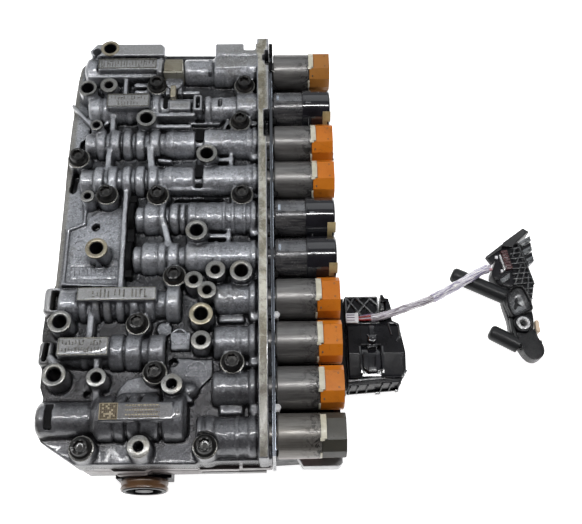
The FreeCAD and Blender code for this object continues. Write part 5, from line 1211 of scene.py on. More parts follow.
# ------------------------------------------------------------------ solenoids
can_pieces = {"cans_steel": [1, 3, 4, 7, 8, 9], "cans_black": list(DARK), "can_front": [10]}
can_mats = {"cans_steel": cans_mat, "cans_black": dark_can_mat, "can_front": front_can_mat}
for pname, numbers in can_pieces.items():
    pc = Piece(pname, [can_mats[pname], label_mat, edge_mat], sharp=40)
    for n in numbers:
        y = SOLENOID_Y[n - 1]
        rc = 13.25 if n in DARK else 13.75
        end = -61.0 if y in (274.0, 240.0, 90.0, 60.0, 30.0, 0.0) else -68.0
        prof = [(end, 2.1), (end, 6.9), (end + 0.5, 7.6), (end + 1.2, 7.95), (-55.2, 7.95), (-55.2, 6.7), (-52.8, 6.7), (-52.8, 7.95), (-44.2, 7.95),
                (-44.2, 6.7), (-41.8, 6.7), (-41.8, 7.95), (-26.6, 7.95), (-26.6, rc - 1.3), (-26.4, rc - 0.7), (-26.0, rc - 0.25), (-25.4, rc),
                (-2.3, rc), (-2.1, rc - 0.22), (-1.7, rc - 0.22), (-1.5, rc), (-0.5, rc), (-0.15, rc - 0.2), (0.0, rc - 0.6), (0.0, 0.03),
                (-3.6, 0.03), (-3.6, 6.6), (-22.5, 6.6), (-22.5, 2.1)]
        pc.add(lathe(prof, (0.0, y, AX), "x", 88, loop=True), 0)
        if n in DARK:
            def arc(t0, t1, r0, r1, m=10):
                o = [(y + r1 * math.cos(math.radians(t0 + (t1 - t0) * k / m)), AX + r1 * math.sin(math.radians(t0 + (t1 - t0) * k / m))) for k in range(m + 1)]
                return o + [(y + r0 * math.cos(math.radians(t1 + (t0 - t1) * k / m)), AX + r0 * math.sin(math.radians(t1 + (t0 - t1) * k / m))) for k in range(m + 1)]
            pc.add(prism(arc(54, 96, 13.0, 13.42, 14), -24.6, -6.2, "yz", 0.12, 1), 1)
            pc.add(prism(arc(70, 92, 13.0, 13.52, 10), -24.4, -22.6, "yz", 0.1, 1), 2)
            for k, t in enumerate((62, 67, 72, 77, 82, 87)):
                pc.add(prism(arc(t, t + 1.6, 13.2, 13.56, 3), -20.0 + (k % 3) * 1.4, -11.5 - (k % 2) * 2.2, "yz", 0.05, 1), 1)
    pc.make(["solenoid_can_%02d" % n for n in numbers])

FACETED = [(-5.5, 12.9), (7.5, 12.9), (12.2, 7.6), (13.4, 0.0), (12.0, -6.4), (6.5, -12.6), (-6.5, -12.6), (-12.2, -7.6), (-13.5, 0.8), (-11.6, 8.2)]


def cap_shell(y0, bevel=0.55):
    """Ten-sided cap from X 0.2 to 15 with a notch at its top left for the tab."""
    bm = bmesh.new()
    full = FACETED
    P3 = {}

    def vert(x, a, b):
        key = (round(x, 3), round(a, 3), round(b, 3))
        if key not in P3:
            P3[key] = bm.verts.new((y0 + a, AX + b, x))
        return P3[key]
    n = len(full)
    xe, xs, x0 = 15.0, 3.2, 0.2
    q1, q2 = (-5.5, 9.5), (10.5, 9.5)
    bm.faces.new([vert(xe, *p) for p in full])
    for i in range(n):
        a, b = full[i], full[(i + 1) % n]
        loop = [vert(xs, *a), vert(xe, *a), vert(xe, *b), vert(xs, *b)]
        if i == 1:
            loop.append(vert(xs, *q2))
        bm.faces.new(loop)
    # left section: points of the cut-down outline
    low = [(-5.5, 12.9), q1, q2] + full[2:]
    m = len(low)
    for i in range(m):
        a, b = low[i], low[(i + 1) % m]
        bm.faces.new([vert(x0, *a), vert(xs, *a), vert(xs, *b), vert(x0, *b)])
    bm.faces.new([vert(x0, *p) for p in low])
    bm.faces.new([vert(xs, -5.5, 12.9), vert(xs, 7.5, 12.9), vert(xs, *q2), vert(xs, *q1)])
    bmesh.ops.recalc_face_normals(bm, faces=bm.faces[:])
    sharp = [e for e in bm.edges if len(e.link_faces) == 2 and e.calc_face_angle() > 0.15]
    bmesh.ops.bevel(bm, geom=sharp, offset=bevel, segments=3, profile=0.6, affect="EDGES", clamp_overlap=True)
    return bm_shell(bm, "yz")


def dots(pc, y, mat, xs=(11.4, 11.6), ys=(5.6, -3.4)):
    for (x, d) in zip(xs, ys):
        pc.add(lathe([(-0.2, 0.62), (0.03, 0.6), (0.05, 0.45), (-0.02, 0.3)], (x, y + d, AX + 12.9), segs=14), mat)


caps = Piece("caps_orange", [orange_mat, ochre_mat, etch_mat], sharp=42)
for n in (1, 3, 4, 7, 8, 9):
    y = SOLENOID_Y[n - 1]
    caps.add(cap_shell(y), 1 if n == 1 else 0)
    dots(caps, y, 2)
    caps.add(rbox(2.0, 2.9, y - 10.4, y - 7.2, AX + 8.4, AX + 10.0, 0.15, 1), 2)
caps.make(["solenoid_caps_orange"])
cap10 = Piece("cap_grey", [grey_cap_mat, foot_mat], sharp=42)
cap10.add(cap_shell(0.0), 0)
cap10.make(["solenoid_cap_grey"])


def arc_yz(y, t0, t1, r0, r1, m=12):
    a = [(y + r1 * math.cos(math.radians(t0 + (t1 - t0) * k / m)), AX + r1 * math.sin(math.radians(t0 + (t1 - t0) * k / m))) for k in range(m + 1)]
    b = [(y + r0 * math.cos(math.radians(t1 + (t0 - t1) * k / m)), AX + r0 * math.sin(math.radians(t1 + (t0 - t1) * k / m))) for k in range(m + 1)]
    return a + b


tabs = Piece("tab_strips", [cream_mat, edge_mat], sharp=40)
for n in (1, 3, 4, 7, 8, 9, 10):
    y = SOLENOID_Y[n - 1]
    tabs.add(prism(arc_yz(y, 40, 111, 13.85, 14.35, 18), -0.55, 3.0, "yz", 0.18, 2), 0)
    tabs.add(prism([(y - 5.0, AX + 9.7), (y + 9.9, AX + 9.7), (y + 9.9, AX + 10.6), (y + 5.0, AX + 13.6), (y - 5.0, AX + 13.7)], 0.15, 2.9, "yz", 0.2, 1), 0)
    tabs.add(prism(arc_yz(y, 108, 116, 13.7, 14.3, 5), -1.1, 1.6, "yz", 0.15, 1), 0)
    tabs.add(prism(arc_yz(y, 150, 176, 13.6, 14.0, 8), -0.9, 0.3, "yz", 0.1, 1), 0)
tabs.make(["bobbin_tabs"])

dark_caps = Piece("caps_black", [gloss_mat, tan_mat, label_mat], sharp=40)
for n in DARK:
    y = SOLENOID_Y[n - 1]
    dark_caps.add(lathe([(-5.8, 13.32), (-5.8, 14.2), (-5.6, 14.45), (-5.2, 14.6), (12.4, 14.6), (13.2, 14.45), (13.8, 14.0), (14.1, 13.3), (14.2, 12.4),
                         (14.2, 0.03), (0.1, 0.03), (0.1, 13.32)], (0.0, y, AX), "x", 96, loop=True), 0)
    dark_caps.add(prism(arc_yz(y, 128, 158, 14.0, 14.95, 8), 8.8, 14.45, "yz", 0.2, 2), 1)
    dark_caps.add(prism(arc_yz(y, 158, 172, 14.0, 14.75, 6), 8.8, 12.0, "yz", 0.2, 2), 1)
    dark_caps.add(prism(arc_yz(y, 100, 104, 14.4, 14.8, 3), -3.4, 0.4, "yz", 0.1, 1), 2)
    dark_caps.add(prism(arc_yz(y, 62, 64, 14.4, 14.72, 3), 2.0, 9.0, "yz", 0.08, 1), 0)
    dark_caps.add(prism(arc_yz(y, 84, 98, 14.3, 14.78, 6), -4.9, -3.6, "yz", 0.15, 1), 0)
    dark_caps.add(prism(arc_yz(y, 140, 178, 14.3, 14.78, 10), -5.4, -1.2, "yz", 0.15, 1), 0)
dark_caps.make(["solenoid_caps_black"])

# holder plate edges, clips and posts in the gap beside the cans
gap = Piece("holder_edges", [edge_mat, holder_mat, clip_shade_mat, foot_mat], sharp=40)
for (a, b) in ((-12.5, 27.0), (31.0, 57.5), (62.0, 117.0), (122.5, 176.0), (183.0, 207.0), (236.0, 262.0)):
    gap.add(rbox(-29.55, -29.25, a, b, 69.2, 70.22, 0.08, 1), 0)
    gap.add(rbox(-27.95, -27.42, a + 1.5, b - 2.2, 69.0, 70.12, 0.1, 1), 0)
gap.add(rbox(-29.6, -26.9, 281.0, 292.0, 58.0, 73.2, 0.8, 2), 2)
gap.add(rbox(-29.6, -27.3, 268.0, 276.5, 60.0, 72.0, 0.6, 2), 2)
for y in (76.0, 15.5, 225.0, 105.0, 136.0, 165.0, 255.0):
    gap.add(rbox(-27.6, -24.9, y - 2.6, y + 2.4, 58.0, 69.5, 0.7, 2), 3 if y in (76.0, 15.5) else 2)
    gap.add(lathe([(0.0, 2.2), (0.9, 2.1), (1.2, 1.6), (0.9, 1.2)], (-26.2, y, 68.8), segs=18), 3 if y in (76.0, 15.5) else 2)
for y in (195.0, 165.0, 135.0, 105.0, 225.0, 257.0, 75.0, 45.0, 15.0):
    gap.add(rbox(-27.4, -25.8, y - 5.5, y + 5.5, 40.0, 60.0, 0.5, 1), 1)
gap.make()

# ---------------------------------------------------------- pressure damper
damp = Piece("damper_cover", [damper_mat, lip_mat, cast_mat, stain_ring_mat], sharp=40)
damp.add(rbox(-106.0, -93.0, 263.6, 271.6, 62.5, 78.0, 0.7, 3), 0)
damp.add(rbox(-106.3, -92.6, 262.5, 264.2, 62.5, 77.3, 0.55, 3), 1)
damp.add(rbox(-93.2, -92.3, 263.2, 270.8, 64.0, 77.4, 0.35, 2), 1)
damp.add(rbox(-106.0, -93.0, 270.0, 277.0, 62.5, 74.5, 0.6, 2), 0)
damp.add(lathe([(0.0, 4.95), (16.0, 5.0)], (-99.2, 274.0, 50.4), segs=32), 0)
damp.make(["pressure_damper"])
stem = Piece("damper_stem", [cast_mat, stain_ring_mat], sharp=40)
stem.add(lathe([(-13.0, 6.6), (-0.8, 6.6), (0.0, 6.2), (0.3, 5.6), (0.3, 0.3)], (-99.2, 259.8, 70.0), segs=48), 0)
stem.add(rbox(-105.2, -102.2, 249.6, 259.0, 58.5, 68.6, 0.8, 2), 0)
stem.add(rbox(-96.4, -93.6, 249.6, 259.0, 58.5, 68.6, 0.8, 2), 0)
stem.add(rbox(-101.4, -97.2, 244.4, 254.6, 58.5, 73.0, 0.9, 3), 1)
stem.add(rbox(-74.4, -71.8, 266.0, 277.4, 66.0, 73.2, 0.5, 2), 0)
stem.make()

# --------------------------------------------------------------- plug housing
house = Piece("harness_housing", [housing_mat, rib_mat, gloss_mat], sharp=36)
HULL = [(21.2, 40.5), (57.0, 43.2), (61.0, 50.0), (61.6, 64.0), (58.4, 85.0), (54.0, 87.0), (52.6, 103.6), (46.6, 104.2), (45.2, 92.0), (44.6, 104.4), (21.2, 104.4)]
house.add(prism(HULL, 8.0, 27.2, "xy", 0.7, 3), 0)


def right_edge(y):
    keys = [(43.2, 56.4), (48.5, 58.6), (54.0, 60.1), (63.0, 60.3), (75.0, 58.6), (83.2, 57.0)]
    for (a, b) in zip(keys, keys[1:]):
        if y <= b[0]:
            return a[1] + (b[1] - a[1]) * (y - a[0]) / (b[0] - a[0])
    return keys[-1][1]


def crown(x0, x1, profile, bevel=0.6):
    """Sloped cover: profile of (y, z) from front to back, x1 None follows the right edge."""
    bm = bmesh.new()
    lo, hi = [], []
    for (y, z) in profile:
        lo.append(bm.verts.new((x0, y, z)))
        hi.append(bm.verts.new(((right_edge(y) - (0.0 if z < 30 else (z - 30) * 0.25)) if x1 is None else x1, y, z)))
    n = len(profile)
    for i in range(n):
        j = (i + 1) % n
        bm.faces.new([lo[i], lo[j], hi[j], hi[i]])
    bm.faces.new(lo)
    bm.faces.new(list(reversed(hi)))
    bmesh.ops.recalc_face_normals(bm, faces=bm.faces[:])
    sharp = [e for e in bm.edges if e.calc_face_angle() > 0.08]
    bmesh.ops.bevel(bm, geom=sharp, offset=bevel, segments=3, profile=0.6, affect="EDGES", clamp_overlap=True)
    return bm_shell(bm)


SLOPE = [(45.6, 26.4), (45.4, 30.8), (46.2, 31.6), (61.5, 34.0), (80.2, 33.8), (83.0, 31.6), (83.2, 26.4)]
house.add(crown(22.0, 31.0, SLOPE), 0)
house.add(crown(43.6, None, SLOPE), 0)
house.add(crown(30.5, 44.1, [(66.4, 26.4), (66.4, 33.6), (67.4, 34.0), (80.2, 33.8), (83.0, 31.6), (83.2, 26.4)]), 0)
house.add(rbox(30.5, 44.1, 46.0, 67.0, 26.0, 30.4, 0.3, 2), 2)
# rails beside the slide, and the knob
for (p, q) in (((30.4, 47.0), (29.6, 66.0)), ((44.6, 47.0), (45.0, 66.0))):
    house.add(slab_bar(p, q, 1.3, 30.0, 35.0, 0.4), 2)
house.add(lathe([(-3.0, 3.7), (1.8, 3.6), (2.9, 3.1), (3.4, 2.2), (3.5, 1.0), (3.3, 0.3)], (38.4, 70.4, 34.0), segs=40), 2)
house.add(rbox(36.6, 40.0, 70.0, 80.5, 33.4, 35.6, 0.8, 3), 2)
house.add(rbox(35.0, 41.8, 64.6, 67.8, 30.0, 35.2, 0.8, 3), 2)
house.add(rod((34.8, 73.5, 34.3), (42.0, 73.5, 34.3), 0.9), 2)
# lip along the front and ribs below it
house.add(slab_bar((21.4, 43.6), (58.8, 46.9), 1.8, 26.2, 28.9, 0.5), 1)
house.add(slab_bar((58.2, 46.0), (61.0, 51.0), 1.6, 26.2, 28.6, 0.4), 1)
for x in (22.2, 27.6, 34.2, 44.0, 50.0, 56.0):
    yy = 40.5 + (x - 21.2) * 0.075
    house.add(rbox(x, x + 1.0, yy - 1.2, yy + 2.0, 8.4, 26.6, 0.25, 1), 0)
house.add(slab_bar((21.4, 40.2), (57.0, 42.6), 1.4, 8.2, 10.4, 0.4), 0)
house.add(rbox(40.8, 44.4, 39.3, 42.0, 8.0, 12.0, 0.5, 2), 2)
house.add(rbox(54.6, 57.2, 40.6, 44.6, 8.0, 12.5, 0.5, 2), 2)
# ribbed panel at the back
for (p, q) in (((21.8, 84.4), (45.0, 84.4)), ((21.8, 103.7), (44.0, 103.7)), ((22.2, 84.4), (22.2, 103.7)), ((44.2, 84.4), (44.2, 103.7)),
               ((22.4, 94.0), (28.0, 103.4)), ((22.8, 103.0), (36.6, 85.0)), ((24.0, 85.0), (39.6, 103.2)), ((29.6, 103.4), (44.0, 87.4)), ((37.0, 85.0), (44.0, 93.4)),
               ((38.8, 103.2), (44.0, 97.8))):
    house.add(slab_bar(p, q, 0.95, 26.6, 29.8, 0.25), 1)
# posts at the panel's right side
house.add(prism([(46.2, 104.2), (47.6, 104.4), (50.4, 99.0), (46.4, 98.6)], 20.0, 33.0, "xy", 0.4, 2), 0)
house.add(prism([(49.8, 99.3), (52.3, 99.0), (53.6, 92.8), (49.6, 93.0)], 20.0, 32.0, "xy", 0.4, 2), 0)
house.add(rbox(46.4, 48.4, 93.4, 99.6, 24.0, 30.6, 0.4, 2), 1)
house.add(rbox(45.6, 53.4, 87.6, 93.0, 20.0, 29.0, 0.5, 2), 0)
# wire guide at the right back corner
for (p, q) in (((49.6, 82.8, 33.4), (57.0, 81.8, 33.2)), ((57.0, 81.8, 33.2), (57.2, 73.0, 33.8)), ((57.2, 73.0, 33.8), (54.6, 69.0, 34.0)), ((50.0, 82.6, 33.6), (52.0, 73.6, 34.0))):
    house.add(rod(p, q, 0.85, 14), 2)
house.make(["plug_housing"])

latch = Piece("latch_slide", [gloss_mat, rib_mat], body="plug_latch", sharp=36)
latch.add(prism(round_poly([(31.6, 62.0), (31.6, 50.8), (34.4, 48.0), (40.4, 48.0), (43.0, 50.8), (43.0, 62.0), (40.4, 62.0), (40.0, 52.4), (38.6, 50.8), (36.2, 50.8),
                            (34.8, 52.4), (34.2, 62.0)], 1.4, 5), 30.75, 35.5, "xy", 0.5, 3), 0)
latch.add(rbox(35.0, 39.8, 48.4, 50.4, 34.6, 36.5, 0.5, 2), 1)
latch.make(["plug_latch"])

# ------------------------------------------------- white plug, wires, sleeves
plug = Piece("white_plug", [white_mat, violet_mat], sharp=36)
plug.add(rbox(21.4, 29.6, 83.3, 90.3, 28.3, 33.6, 0.5, 3), 0)
plug.add(rbox(21.4, 30.0, 84.0, 89.6, 32.6, 34.2, 0.4, 2), 0)
plug.add(rbox(27.8, 30.0, 83.0, 90.6, 28.2, 34.0, 0.45, 2), 0)
for k in range(3):
    plug.add(rbox(22.0, 27.4, 84.6 + 1.9 * k, 85.2 + 1.9 * k, 34.0, 34.45, 0.12, 1), 1)
plug.make(["cable_plug"])
n_all = len(cable_line)
start = cable_line[:max(6, int(n_all * 0.125))]
for k, (a, b, m) in enumerate(((-0.9, 0.7, red_mat), (0.8, 0.9, red_mat), (0.1, -0.8, violet_mat), (-1.5, -0.7, violet_mat))):
    def sway(t, a=a, b=b, k=k):
        s = 1.0 + 0.9 * math.sin(math.pi * t) * (0.5 + 0.25 * k)
        return (a * s / 1000.0, b * s / 1000.0)
    line_tube("lead_wire_%d" % (k + 1), start, lambda t: 0.00078, [m], 12, sway)
i0, i1 = int(n_all * 0.50), int(n_all * 0.98)
inner = line_tube("inner_sleeve", cable_line[int(n_all * 0.062):int(n_all * 0.53)], lambda t: 0.00275 + 0.00010 * math.sin(17 * t) + 0.00008 * math.sin(41 * t + 1.0), [sleeve_mat], 28)
outer = line_tube("outer_sleeve", cable_line[i0:i1], lambda t: 0.0033 + 0.00014 * math.sin(19 * t) + 0.0001 * math.sin(47 * t) - (0.0004 if t < 0.03 else 0.0), [outer_mat], 32, lambda t: (0.0, 0.0005))
tail = line_tube("sleeve_end", cable_line[int(n_all * 0.915):], lambda t: 0.0018, [pink_mat], 16, lambda t: (0.0006, 0.0004))

# -------------------------------------------------------------- sensor pieces
conn = Piece("sensor_socket", [black_plastic, block_mat, silver_mat, white_mat, fin_mat, dusty_black, rib_mat], sharp=36)
SOCKET = [(135.5, 123.1), (148.2, 130.3), (149.3, 143.5), (155.0, 155.6), (158.0, 156.0), (165.0, 162.0), (160.0, 165.2), (143.0, 152.6), (129.4, 142.4)]
conn.add(prism([(135.7, 123.4), (147.9, 130.4), (149.0, 143.5), (154.7, 155.6), (143.2, 152.4), (137.0, 147.7), (138.6, 146.0), (136.8, 139.0), (133.2, 131.4), (132.6, 128.0)], 0.0, 11.0, "xy", 0.5, 2), 0)
conn.add(prism([(129.6, 142.2), (133.4, 136.0), (137.2, 139.4), (139.6, 146.2), (143.4, 152.2)], 8.6, 12.6, "xy", 0.5, 2), 0)
conn.add(prism([(142.6, 149.6), (150.2, 149.0), (154.0, 153.6), (162.4, 160.4), (164.4, 161.6), (160.0, 164.8), (143.4, 152.8)], 0.0, 14.0, "xy", 0.6, 3), 1)
conn.add(prism([(129.8, 142.0), (131.0, 140.6), (142.0, 148.2), (143.0, 152.0)], 11.0, 13.6, "xy", 0.35, 2), 1)
conn.add(prism([(139.2, 142.8), (140.6, 143.2), (143.0, 130.8), (141.6, 130.2)], 10.0, 13.6, "xy", 0.25, 2), 2)
for (x0, x1, y0, y1) in ((136.2, 138.4, 140.0, 142.4), (139.3, 141.0, 128.9, 131.2)):
    conn.add(rbox(x0, x1, y0, y1, 10.0, 13.0, 0.3, 2), 3)
conn.add(prism([(138.2, 124.2), (146.6, 130.0), (145.9, 124.9), (139.8, 120.8)], 8.0, 10.9, "xy", 0.5, 3), 4)
conn.add(prism([(135.9, 123.6), (147.7, 130.2), (150.6, 121.6), (146.0, 118.8), (139.9, 120.4)], 0.2, 8.8, "xy", 0.4, 2), 0)
# three contact fins with black tabs between
for (quad, m, top) in (([(155.6, 153.4), (164.8, 159.2), (165.4, 155.0), (158.0, 150.6)], 4, 12.4), ([(158.2, 147.4), (164.9, 151.0), (165.2, 147.2), (159.0, 143.2)], 4, 12.0),
                       ([(159.6, 139.6), (165.0, 143.0), (165.5, 138.6), (161.0, 134.6)], 4, 11.6), ([(158.0, 150.2), (165.4, 154.6), (165.5, 151.4), (158.6, 147.6)], 0, 10.6),
                       ([(159.0, 142.8), (165.4, 146.8), (165.5, 143.4), (159.8, 139.8)], 0, 10.2)):
    conn.add(prism(quad, 1.0, top, "xy", 0.4, 2), m)
for (p, q) in (((157.2, 152.6), (164.6, 157.2)), ((158.8, 145.6), (164.8, 149.2)), ((160.2, 137.6), (165.0, 140.8))):
    conn.add(slab_bar(p, q, 0.6, 10.0, 13.0, 0.15), 6)
conn.make(["sensor_connector"])

lock = Piece("maroon_slide", [maroon_mat], sharp=36)
for k in range(7):
    a = 131.0 + k * 2.2
    dx = (a - 131.0) * -0.17
    lock.add(moved(rbox(143.2 + dx, 148.0 + dx, a, a + 1.7, 10.0, 14.6, 0.3, 2), 10, (145.0 + dx, a, 12)), 0)
lock.add(prism([(141.6, 146.0), (145.4, 147.0), (147.4, 131.4), (143.6, 130.6)], 8.0, 13.6, "xy", 0.4, 2), 0)
lock.make(["sensor_lock"])

arm = Piece("bracket_arm", [dusty_black, stick_mat, rib_mat, beige_mat, black_plastic, silver_mat, scoop_mat], sharp=40)
# ribbed triangular plate
GRID = [(147.4, 149.4), (155.0, 154.4), (158.6, 138.0), (160.8, 131.8), (163.0, 122.6), (163.4, 119.4), (159.6, 105.4), (155.4, 113.8), (150.8, 119.4), (144.0, 118.4), (146.8, 130.6)]
arm.add(prism(GRID, 0.4, 8.2, "xy", 0.4, 2), 4)


def clip_line(p, q):
    arm.add(slab_bar(p, q, 0.62, 7.8, 11.2, 0.18), 2)


clip_line((155.2, 154.2), (160.8, 131.8))
clip_line((160.8, 131.8), (163.2, 120.2))
clip_line((155.6, 136.4), (149.6, 121.6))
clip_line((158.0, 132.6), (153.8, 120.4))
clip_line((160.0, 128.0), (157.4, 113.4))
clip_line((152.6, 149.2), (149.9, 142.4))
clip_line((155.8, 144.0), (152.2, 137.0))
clip_line((147.6, 150.0), (154.6, 153.4))
for k in range(11):
    y = 108.0 + 4.1 * k
    left = 156.6 - 0.20 * (y - 108.0) if y < 120 else 148.0 + 0.02 * (y - 120)
    left = max(left, 147.6)
    rgt = 160.4 + 0.14 * (y - 108.0) if y < 121 else 163.0 - 0.235 * (y - 121.0)
    clip_line((left, y), (rgt, y + 1.0))
# arm body with the deep scoop
ARM_BODY = round_poly([(138.7, 108.8), (140.6, 113.6), (143.6, 116.8), (148.8, 119.8), (153.4, 119.6), (156.4, 115.0), (159.6, 105.4), (160.4, 95.4), (158.6, 86.0),
                       (160.0, 78.0), (163.0, 72.0), (155.9, 62.6), (149.6, 66.4), (146.6, 72.6), (143.2, 78.6), (141.6, 85.0), (141.4, 94.4)], 2.0, 4)
arm.add(prism(ARM_BODY, 0.0, 6.0, "xy", 0.5, 2), 0)
SCOOP_OUT = round_poly([(145.6, 93.6), (142.6, 96.4), (140.4, 103.4), (140.2, 110.0), (143.4, 115.6), (148.8, 119.2), (153.4, 119.1), (156.2, 114.7), (158.6, 107.8), (159.4, 99.6), (153.6, 97.4)], 2.4, 5)


def shrink(points, d):
    cx = sum(p[0] for p in points) / len(points)
    cy = sum(p[1] for p in points) / len(points)
    out = []
    for (x, y) in points:
        v = Vector((x - cx, y - cy))
        v *= max(0.05, (v.length - d) / v.length)
        out.append((cx + v.x, cy + v.y))
    return out


def ring_poly(outer_pts, steps):
    """Closed wall from (offset, z) steps round an outline; ends meet."""
    levels = []
    for (d, z) in steps:
        levels.append([(x, y, z) for (x, y) in shrink(outer_pts, d)])
    return rings(levels, lambda p: p, loop=True)


arm.add(ring_poly(SCOOP_OUT, [(0.0, 1.0), (0.0, 11.6), (0.25, 12.2), (0.8, 12.5), (1.4, 12.3), (1.9, 11.4), (2.6, 8.6), (4.2, 6.4), (7.0, 5.4), (8.0, 4.6), (8.0, 1.0)]), 0)
arm.add(ring_poly(SCOOP_OUT, [(1.6, 11.9), (1.9, 11.3), (2.5, 9.2), (3.6, 7.4), (5.4, 6.4), (8.0, 6.0), (9.6, 5.9), (9.6, 4.8), (1.6, 4.8)]), 6)
# bush seat and the granular lower end
arm.add(lathe([(0.0, 6.6), (11.3, 6.6), (12.0, 6.1), (12.2, 5.2), (12.0, 4.3), (0.0, 4.25)], (150.3, 89.3, 0.0), segs=56, loop=True), 4)
END = round_poly([(144.2, 83.2), (147.6, 82.4), (151.2, 81.6), (155.8, 83.6), (158.4, 86.2), (159.6, 79.0), (162.8, 72.6), (162.9, 68.0), (160.6, 64.0), (156.0, 62.1), (151.6, 63.2), (148.6, 67.0), (147.4, 72.0)], 1.8, 4)
arm.add(prism(END, 2.0, 11.0, "xy", 1.2, 4), 0)
arm.add(prism([(138.9, 108.4), (142.0, 96.4), (143.6, 97.0), (141.4, 104.0), (141.0, 110.4)], 0.3, 9.6, "xy", 0.6, 3), 1)
arm.add(prism([(141.6, 94.0), (142.0, 85.0), (143.6, 79.0), (147.0, 73.2), (149.8, 74.4), (146.4, 80.0), (144.4, 86.0), (144.0, 94.0)], 0.3, 9.8, "xy", 0.7, 3), 1)
arm.add(rbox(160.6, 163.6, 84.4, 93.6, 0.6, 7.0, 1.2, 4), 3)
arm.add(rbox(160.4, 163.4, 73.6, 78.0, 1.0, 7.6, 0.6, 2), 2)
arm.make(["sensor_bracket"])
bush = Piece("bracket_bush_ring", [silver_mat, stain_ring_mat], sharp=34)
bush.add(lathe([(0.0, 4.2), (12.2, 4.2), (12.2, 4.75), (12.6, 4.9), (12.95, 4.7), (13.0, 4.2), (13.0, 2.9), (12.6, 2.45), (11.8, 2.2), (0.0, 2.2)], (150.3, 89.3, 0.0), segs=64, loop=True), 0)
bush.make(["bracket_bush"])


def stick_shell(p, q, r):
    a, b = Vector((p[0], p[1], r)), Vector((q[0], q[1], r))
    d = (b - a).normalized()
    side = d.cross(Vector((0, 0, 1)))
    top = Vector((0, 0, 1))
    n = (b - a).length
    levels = []
    for (s, rr) in [(-2.9, r - 2.6), (-2.8, r - 2.0), (-2.45, r - 1.3), (-1.9, r - 0.75), (-1.2, r - 0.32), (-0.5, r - 0.1), (0.3, r), (n * 0.5, r), (n, r)]:
        c = a + d * s
        levels.append([tuple(c + side * (rr * math.cos(2 * math.pi * k / 48)) + top * (rr * math.sin(2 * math.pi * k / 48))) for k in range(48)])
    return rings(levels, lambda v: v)


for (name, p, q, r, node) in (("long_stick", (106.8, 130.0), (142.0, 112.3), 5.7, "sensor_stick_long"), ("short_stick", (129.6, 84.4), (146.5, 74.6), 5.6, "sensor_stick_short")):
    st = Piece(name, [stick_mat], sharp=40)
    st.add(stick_shell(p, q, r), 0)
    st.make([node])

# ------------------------------------------------------------- lower layers
base = Piece("lower_layers", [lower_mat, plate_mat, black_plastic, holder_mat], sharp=34)
LOWER = [(-149.0, -14.2), (-131.0, -14.8), (-128.0, -16.6), (-109.0, -16.8), (-106.0, -15.2), (-77.0, -15.2), (-74.0, -13.4), (-29.6, -13.4), (-29.6, 290.0), (-156.0, 291.5),
         (-163.5, 289.0), (-170.0, 280.0), (-171.5, 268.0), (-172.4, 243.0), (-172.8, 200.0), (-172.0, 151.0), (-171.6, 103.0), (-175.2, 93.0), (-176.4, 68.0), (-174.2, 48.0),
         (-173.8, 33.0), (-171.4, 26.4), (-173.2, 13.0), (-171.0, 2.0), (-170.0, -1.0), (-151.4, -12.8)]


def inset(points, d):
    cx, cy = -100.0, 138.0
    return [(x - d * (1 if x > cx else -1), y - d * (1 if y > cy else -1)) for (x, y) in points]


base.add(prism(LOWER, 36.4, 44.0, "xy", 0.5, 2), 0)
base.add(prism(inset(LOWER, 0.9), 33.6, 36.8, "xy", 0.2, 1), 3)
base.add(prism(inset(LOWER, 0.25), 22.0, 34.0, "xy", 0.6, 2), 0)
for (x0, x1) in ((-150.0, -141.0), (-98.0, -92.0), (-78.5, -76.0), (-60.0, -38.0)):
    base.add(rbox(x0, x1, -14.6 if x0 < -74 else -14.1, -10.0, 38.6, 41.6, 0.3, 2), 3)
base.add(rbox(-75.0, -50.5, -16.2, -10.0, 37.0, 43.6, 0.6, 3), 0)
base.add(rbox(-48.5, -31.0, -15.8, -10.0, 36.0, 43.6, 0.5, 2), 0)
base.add(rbox(-128.0, -108.5, -17.4, -12.0, 30.0, 36.0, 2.4, 4), 0)
base.make(["lower_casting"])
seal = Piece("plug_ring", [brown_mat, black_plastic], sharp=34)
seal.add(lathe([(-24.0, 14.25), (-24.0, 15.0), (-23.6, 15.35), (-22.6, 15.4), (-21.8, 15.0), (-21.2, 14.8), (-20.4, 15.1), (-19.6, 15.4), (-18.2, 15.3), (-17.5, 14.9), (-17.4, 14.25)],
               (-113.0, 0.0, 16.0), "y", 72, loop=True), 0)
seal.make(["connector_ring"])
ribs = Piece("contact_ribs", [black_plastic, gloss_mat], sharp=40)
for k in range(6):
    ribs.add(lathe([(29.6, 2.0), (30.0, 2.4), (43.0, 2.4), (43.8, 1.9), (44.0, 0.5)], (15.2, 198.8 + 5.0 * k, 0.0), segs=20), 0)
for y in (257.0, 225.0, 195.0, 165.0, 135.0, 105.0, 75.0, 45.0, 15.0):
    ribs.add(rbox(-24.5, 12.8, y - 1.1, y + 1.1, 34.0, 46.5, 0.4, 2), 0)
for y in SOLENOID_Y:
    ribs.add(rbox(4.0, 12.5, y - 7.0, y + 7.0, 28.0, 45.0, 0.6, 2), 1)
ribs.make()

# ---------------------------------------------------- carried-over CAD nodes
paint("separator_plate", plate_mat)
paint("solenoid_plate", holder_mat)
paint("bore_plugs", worked_metal("plug_alloy", (0.40, 0.40, 0.40), (0.30, 0.30, 0.29), rough=0.3))
paint("plate_screws", bolt_mat)
paint("heat_sink_plate", sink_mat)
paint("electronics_housing", black_plastic, 0.6)
paint("contact_frame", black_plastic)
paint("main_connector", black_plastic, 0.4)
paint("frame_foot", foot_mat, 0.7, 3)
for k in "abcdefghj":
    paint("spool_row_" + k, spool_mat)
for i in range(1, 11):
    paint("armature_%02d" % i, spring_mat)

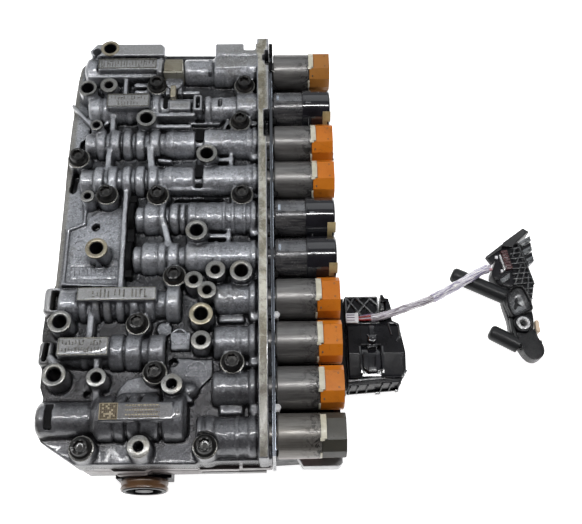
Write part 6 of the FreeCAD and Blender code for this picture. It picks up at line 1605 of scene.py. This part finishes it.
# keeper plates stand over the grooves of the plugs, spring clips at the open ends
# their near-black material is also painted shade of the slots
keepers = Piece("row_keepers", [clip_shade_mat])
for x0, x1, y, half, z0, z1, front in ((-105.95, -103.45, 240.0, 7.2, 49.8, 70.0, 236.8), (-81.85, -76.55, 210.0, 7.7, 50.8, 71.0, 208.2),
                                       (-81.35, -76.15, 180.0, 7.7, 50.8, 71.0, 178.2), (-167.0, -162.5, 12.0, 7.8, 50.8, 69.0, 5.0)):
    low, leg = z1 - 5.0, half - 2.5
    keepers.add(prism([(y - half, z0), (y - leg, z0), (y - leg, low), (y + leg, low), (y + leg, z0), (y + half, z0), (y + half, z1),
                       (front, z1), (front, low + 1.4), (y - half, low + 1.4)], x0, x1, "yz", 0.0))
for y in (150.0, 120.0):
    keepers.add(prism(arc_yz(y, -3.6, 183.6, 9.0, 12.4, 36), -125.0, -121.8, "yz", 0.25, 1))
    keepers.add(rbox(-125.4, -123.4, y - 11.0, y + 11.0, 59.7, 65.7, 0.25, 1))
    keepers.add(rbox(-125.4, -121.0, y - 15.4, y - 10.4, 59.7, 67.7, 0.4, 2))
    keepers.add(rbox(-125.4, -121.0, y + 10.4, y + 15.4, 59.7, 67.7, 0.4, 2))
keepers.make(replaces=("keeper_clips",))

# each return spring is its own coil
COILS = {"a": (274.0, -160.4, -147.6), "b": (240.0, -154.4, -142.1), "c": (210.0, -154.4, -140.6), "d": (180.0, -154.4, -140.6),
         "e": (150.0, -115.8, -104.6), "f": (120.0, -115.8, -104.6), "g": (87.0, -159.4, -146.6), "h": (54.5, -157.4, -143.6),
         "j": (12.0, -155.0, -140.6)}


def coil_shell(x0, x1, y, z, r, wire, turns=5, steps=22, sides=8):
    span, count = x1 - x0 - 2 * wire, turns * steps
    slope = span / (turns * 2 * math.pi * r)
    levels = []
    for i in range(count + 1):
        t = 2 * math.pi * i / steps
        radial = Vector((0.0, math.cos(t), math.sin(t)))
        along = Vector((slope, -math.sin(t), math.cos(t))).normalized()
        across = along.cross(radial)
        middle = Vector((x0 + wire + span * i / count, y, z)) + radial * r
        levels.append([tuple(middle + radial * (wire * math.cos(a)) + across * (wire * math.sin(a)))
                       for a in (2 * math.pi * k / sides for k in range(sides))])
    return rings(levels, lambda p: p)


for k, (y, x0, x1) in COILS.items():
    spring = Piece("valve_spring_" + k, [spring_mat])
    spring.add(coil_shell(x0, x1, y, AX, 5.6, 0.5))
    obj = spring.make(replaces=("valve_springs",))
    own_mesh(obj)
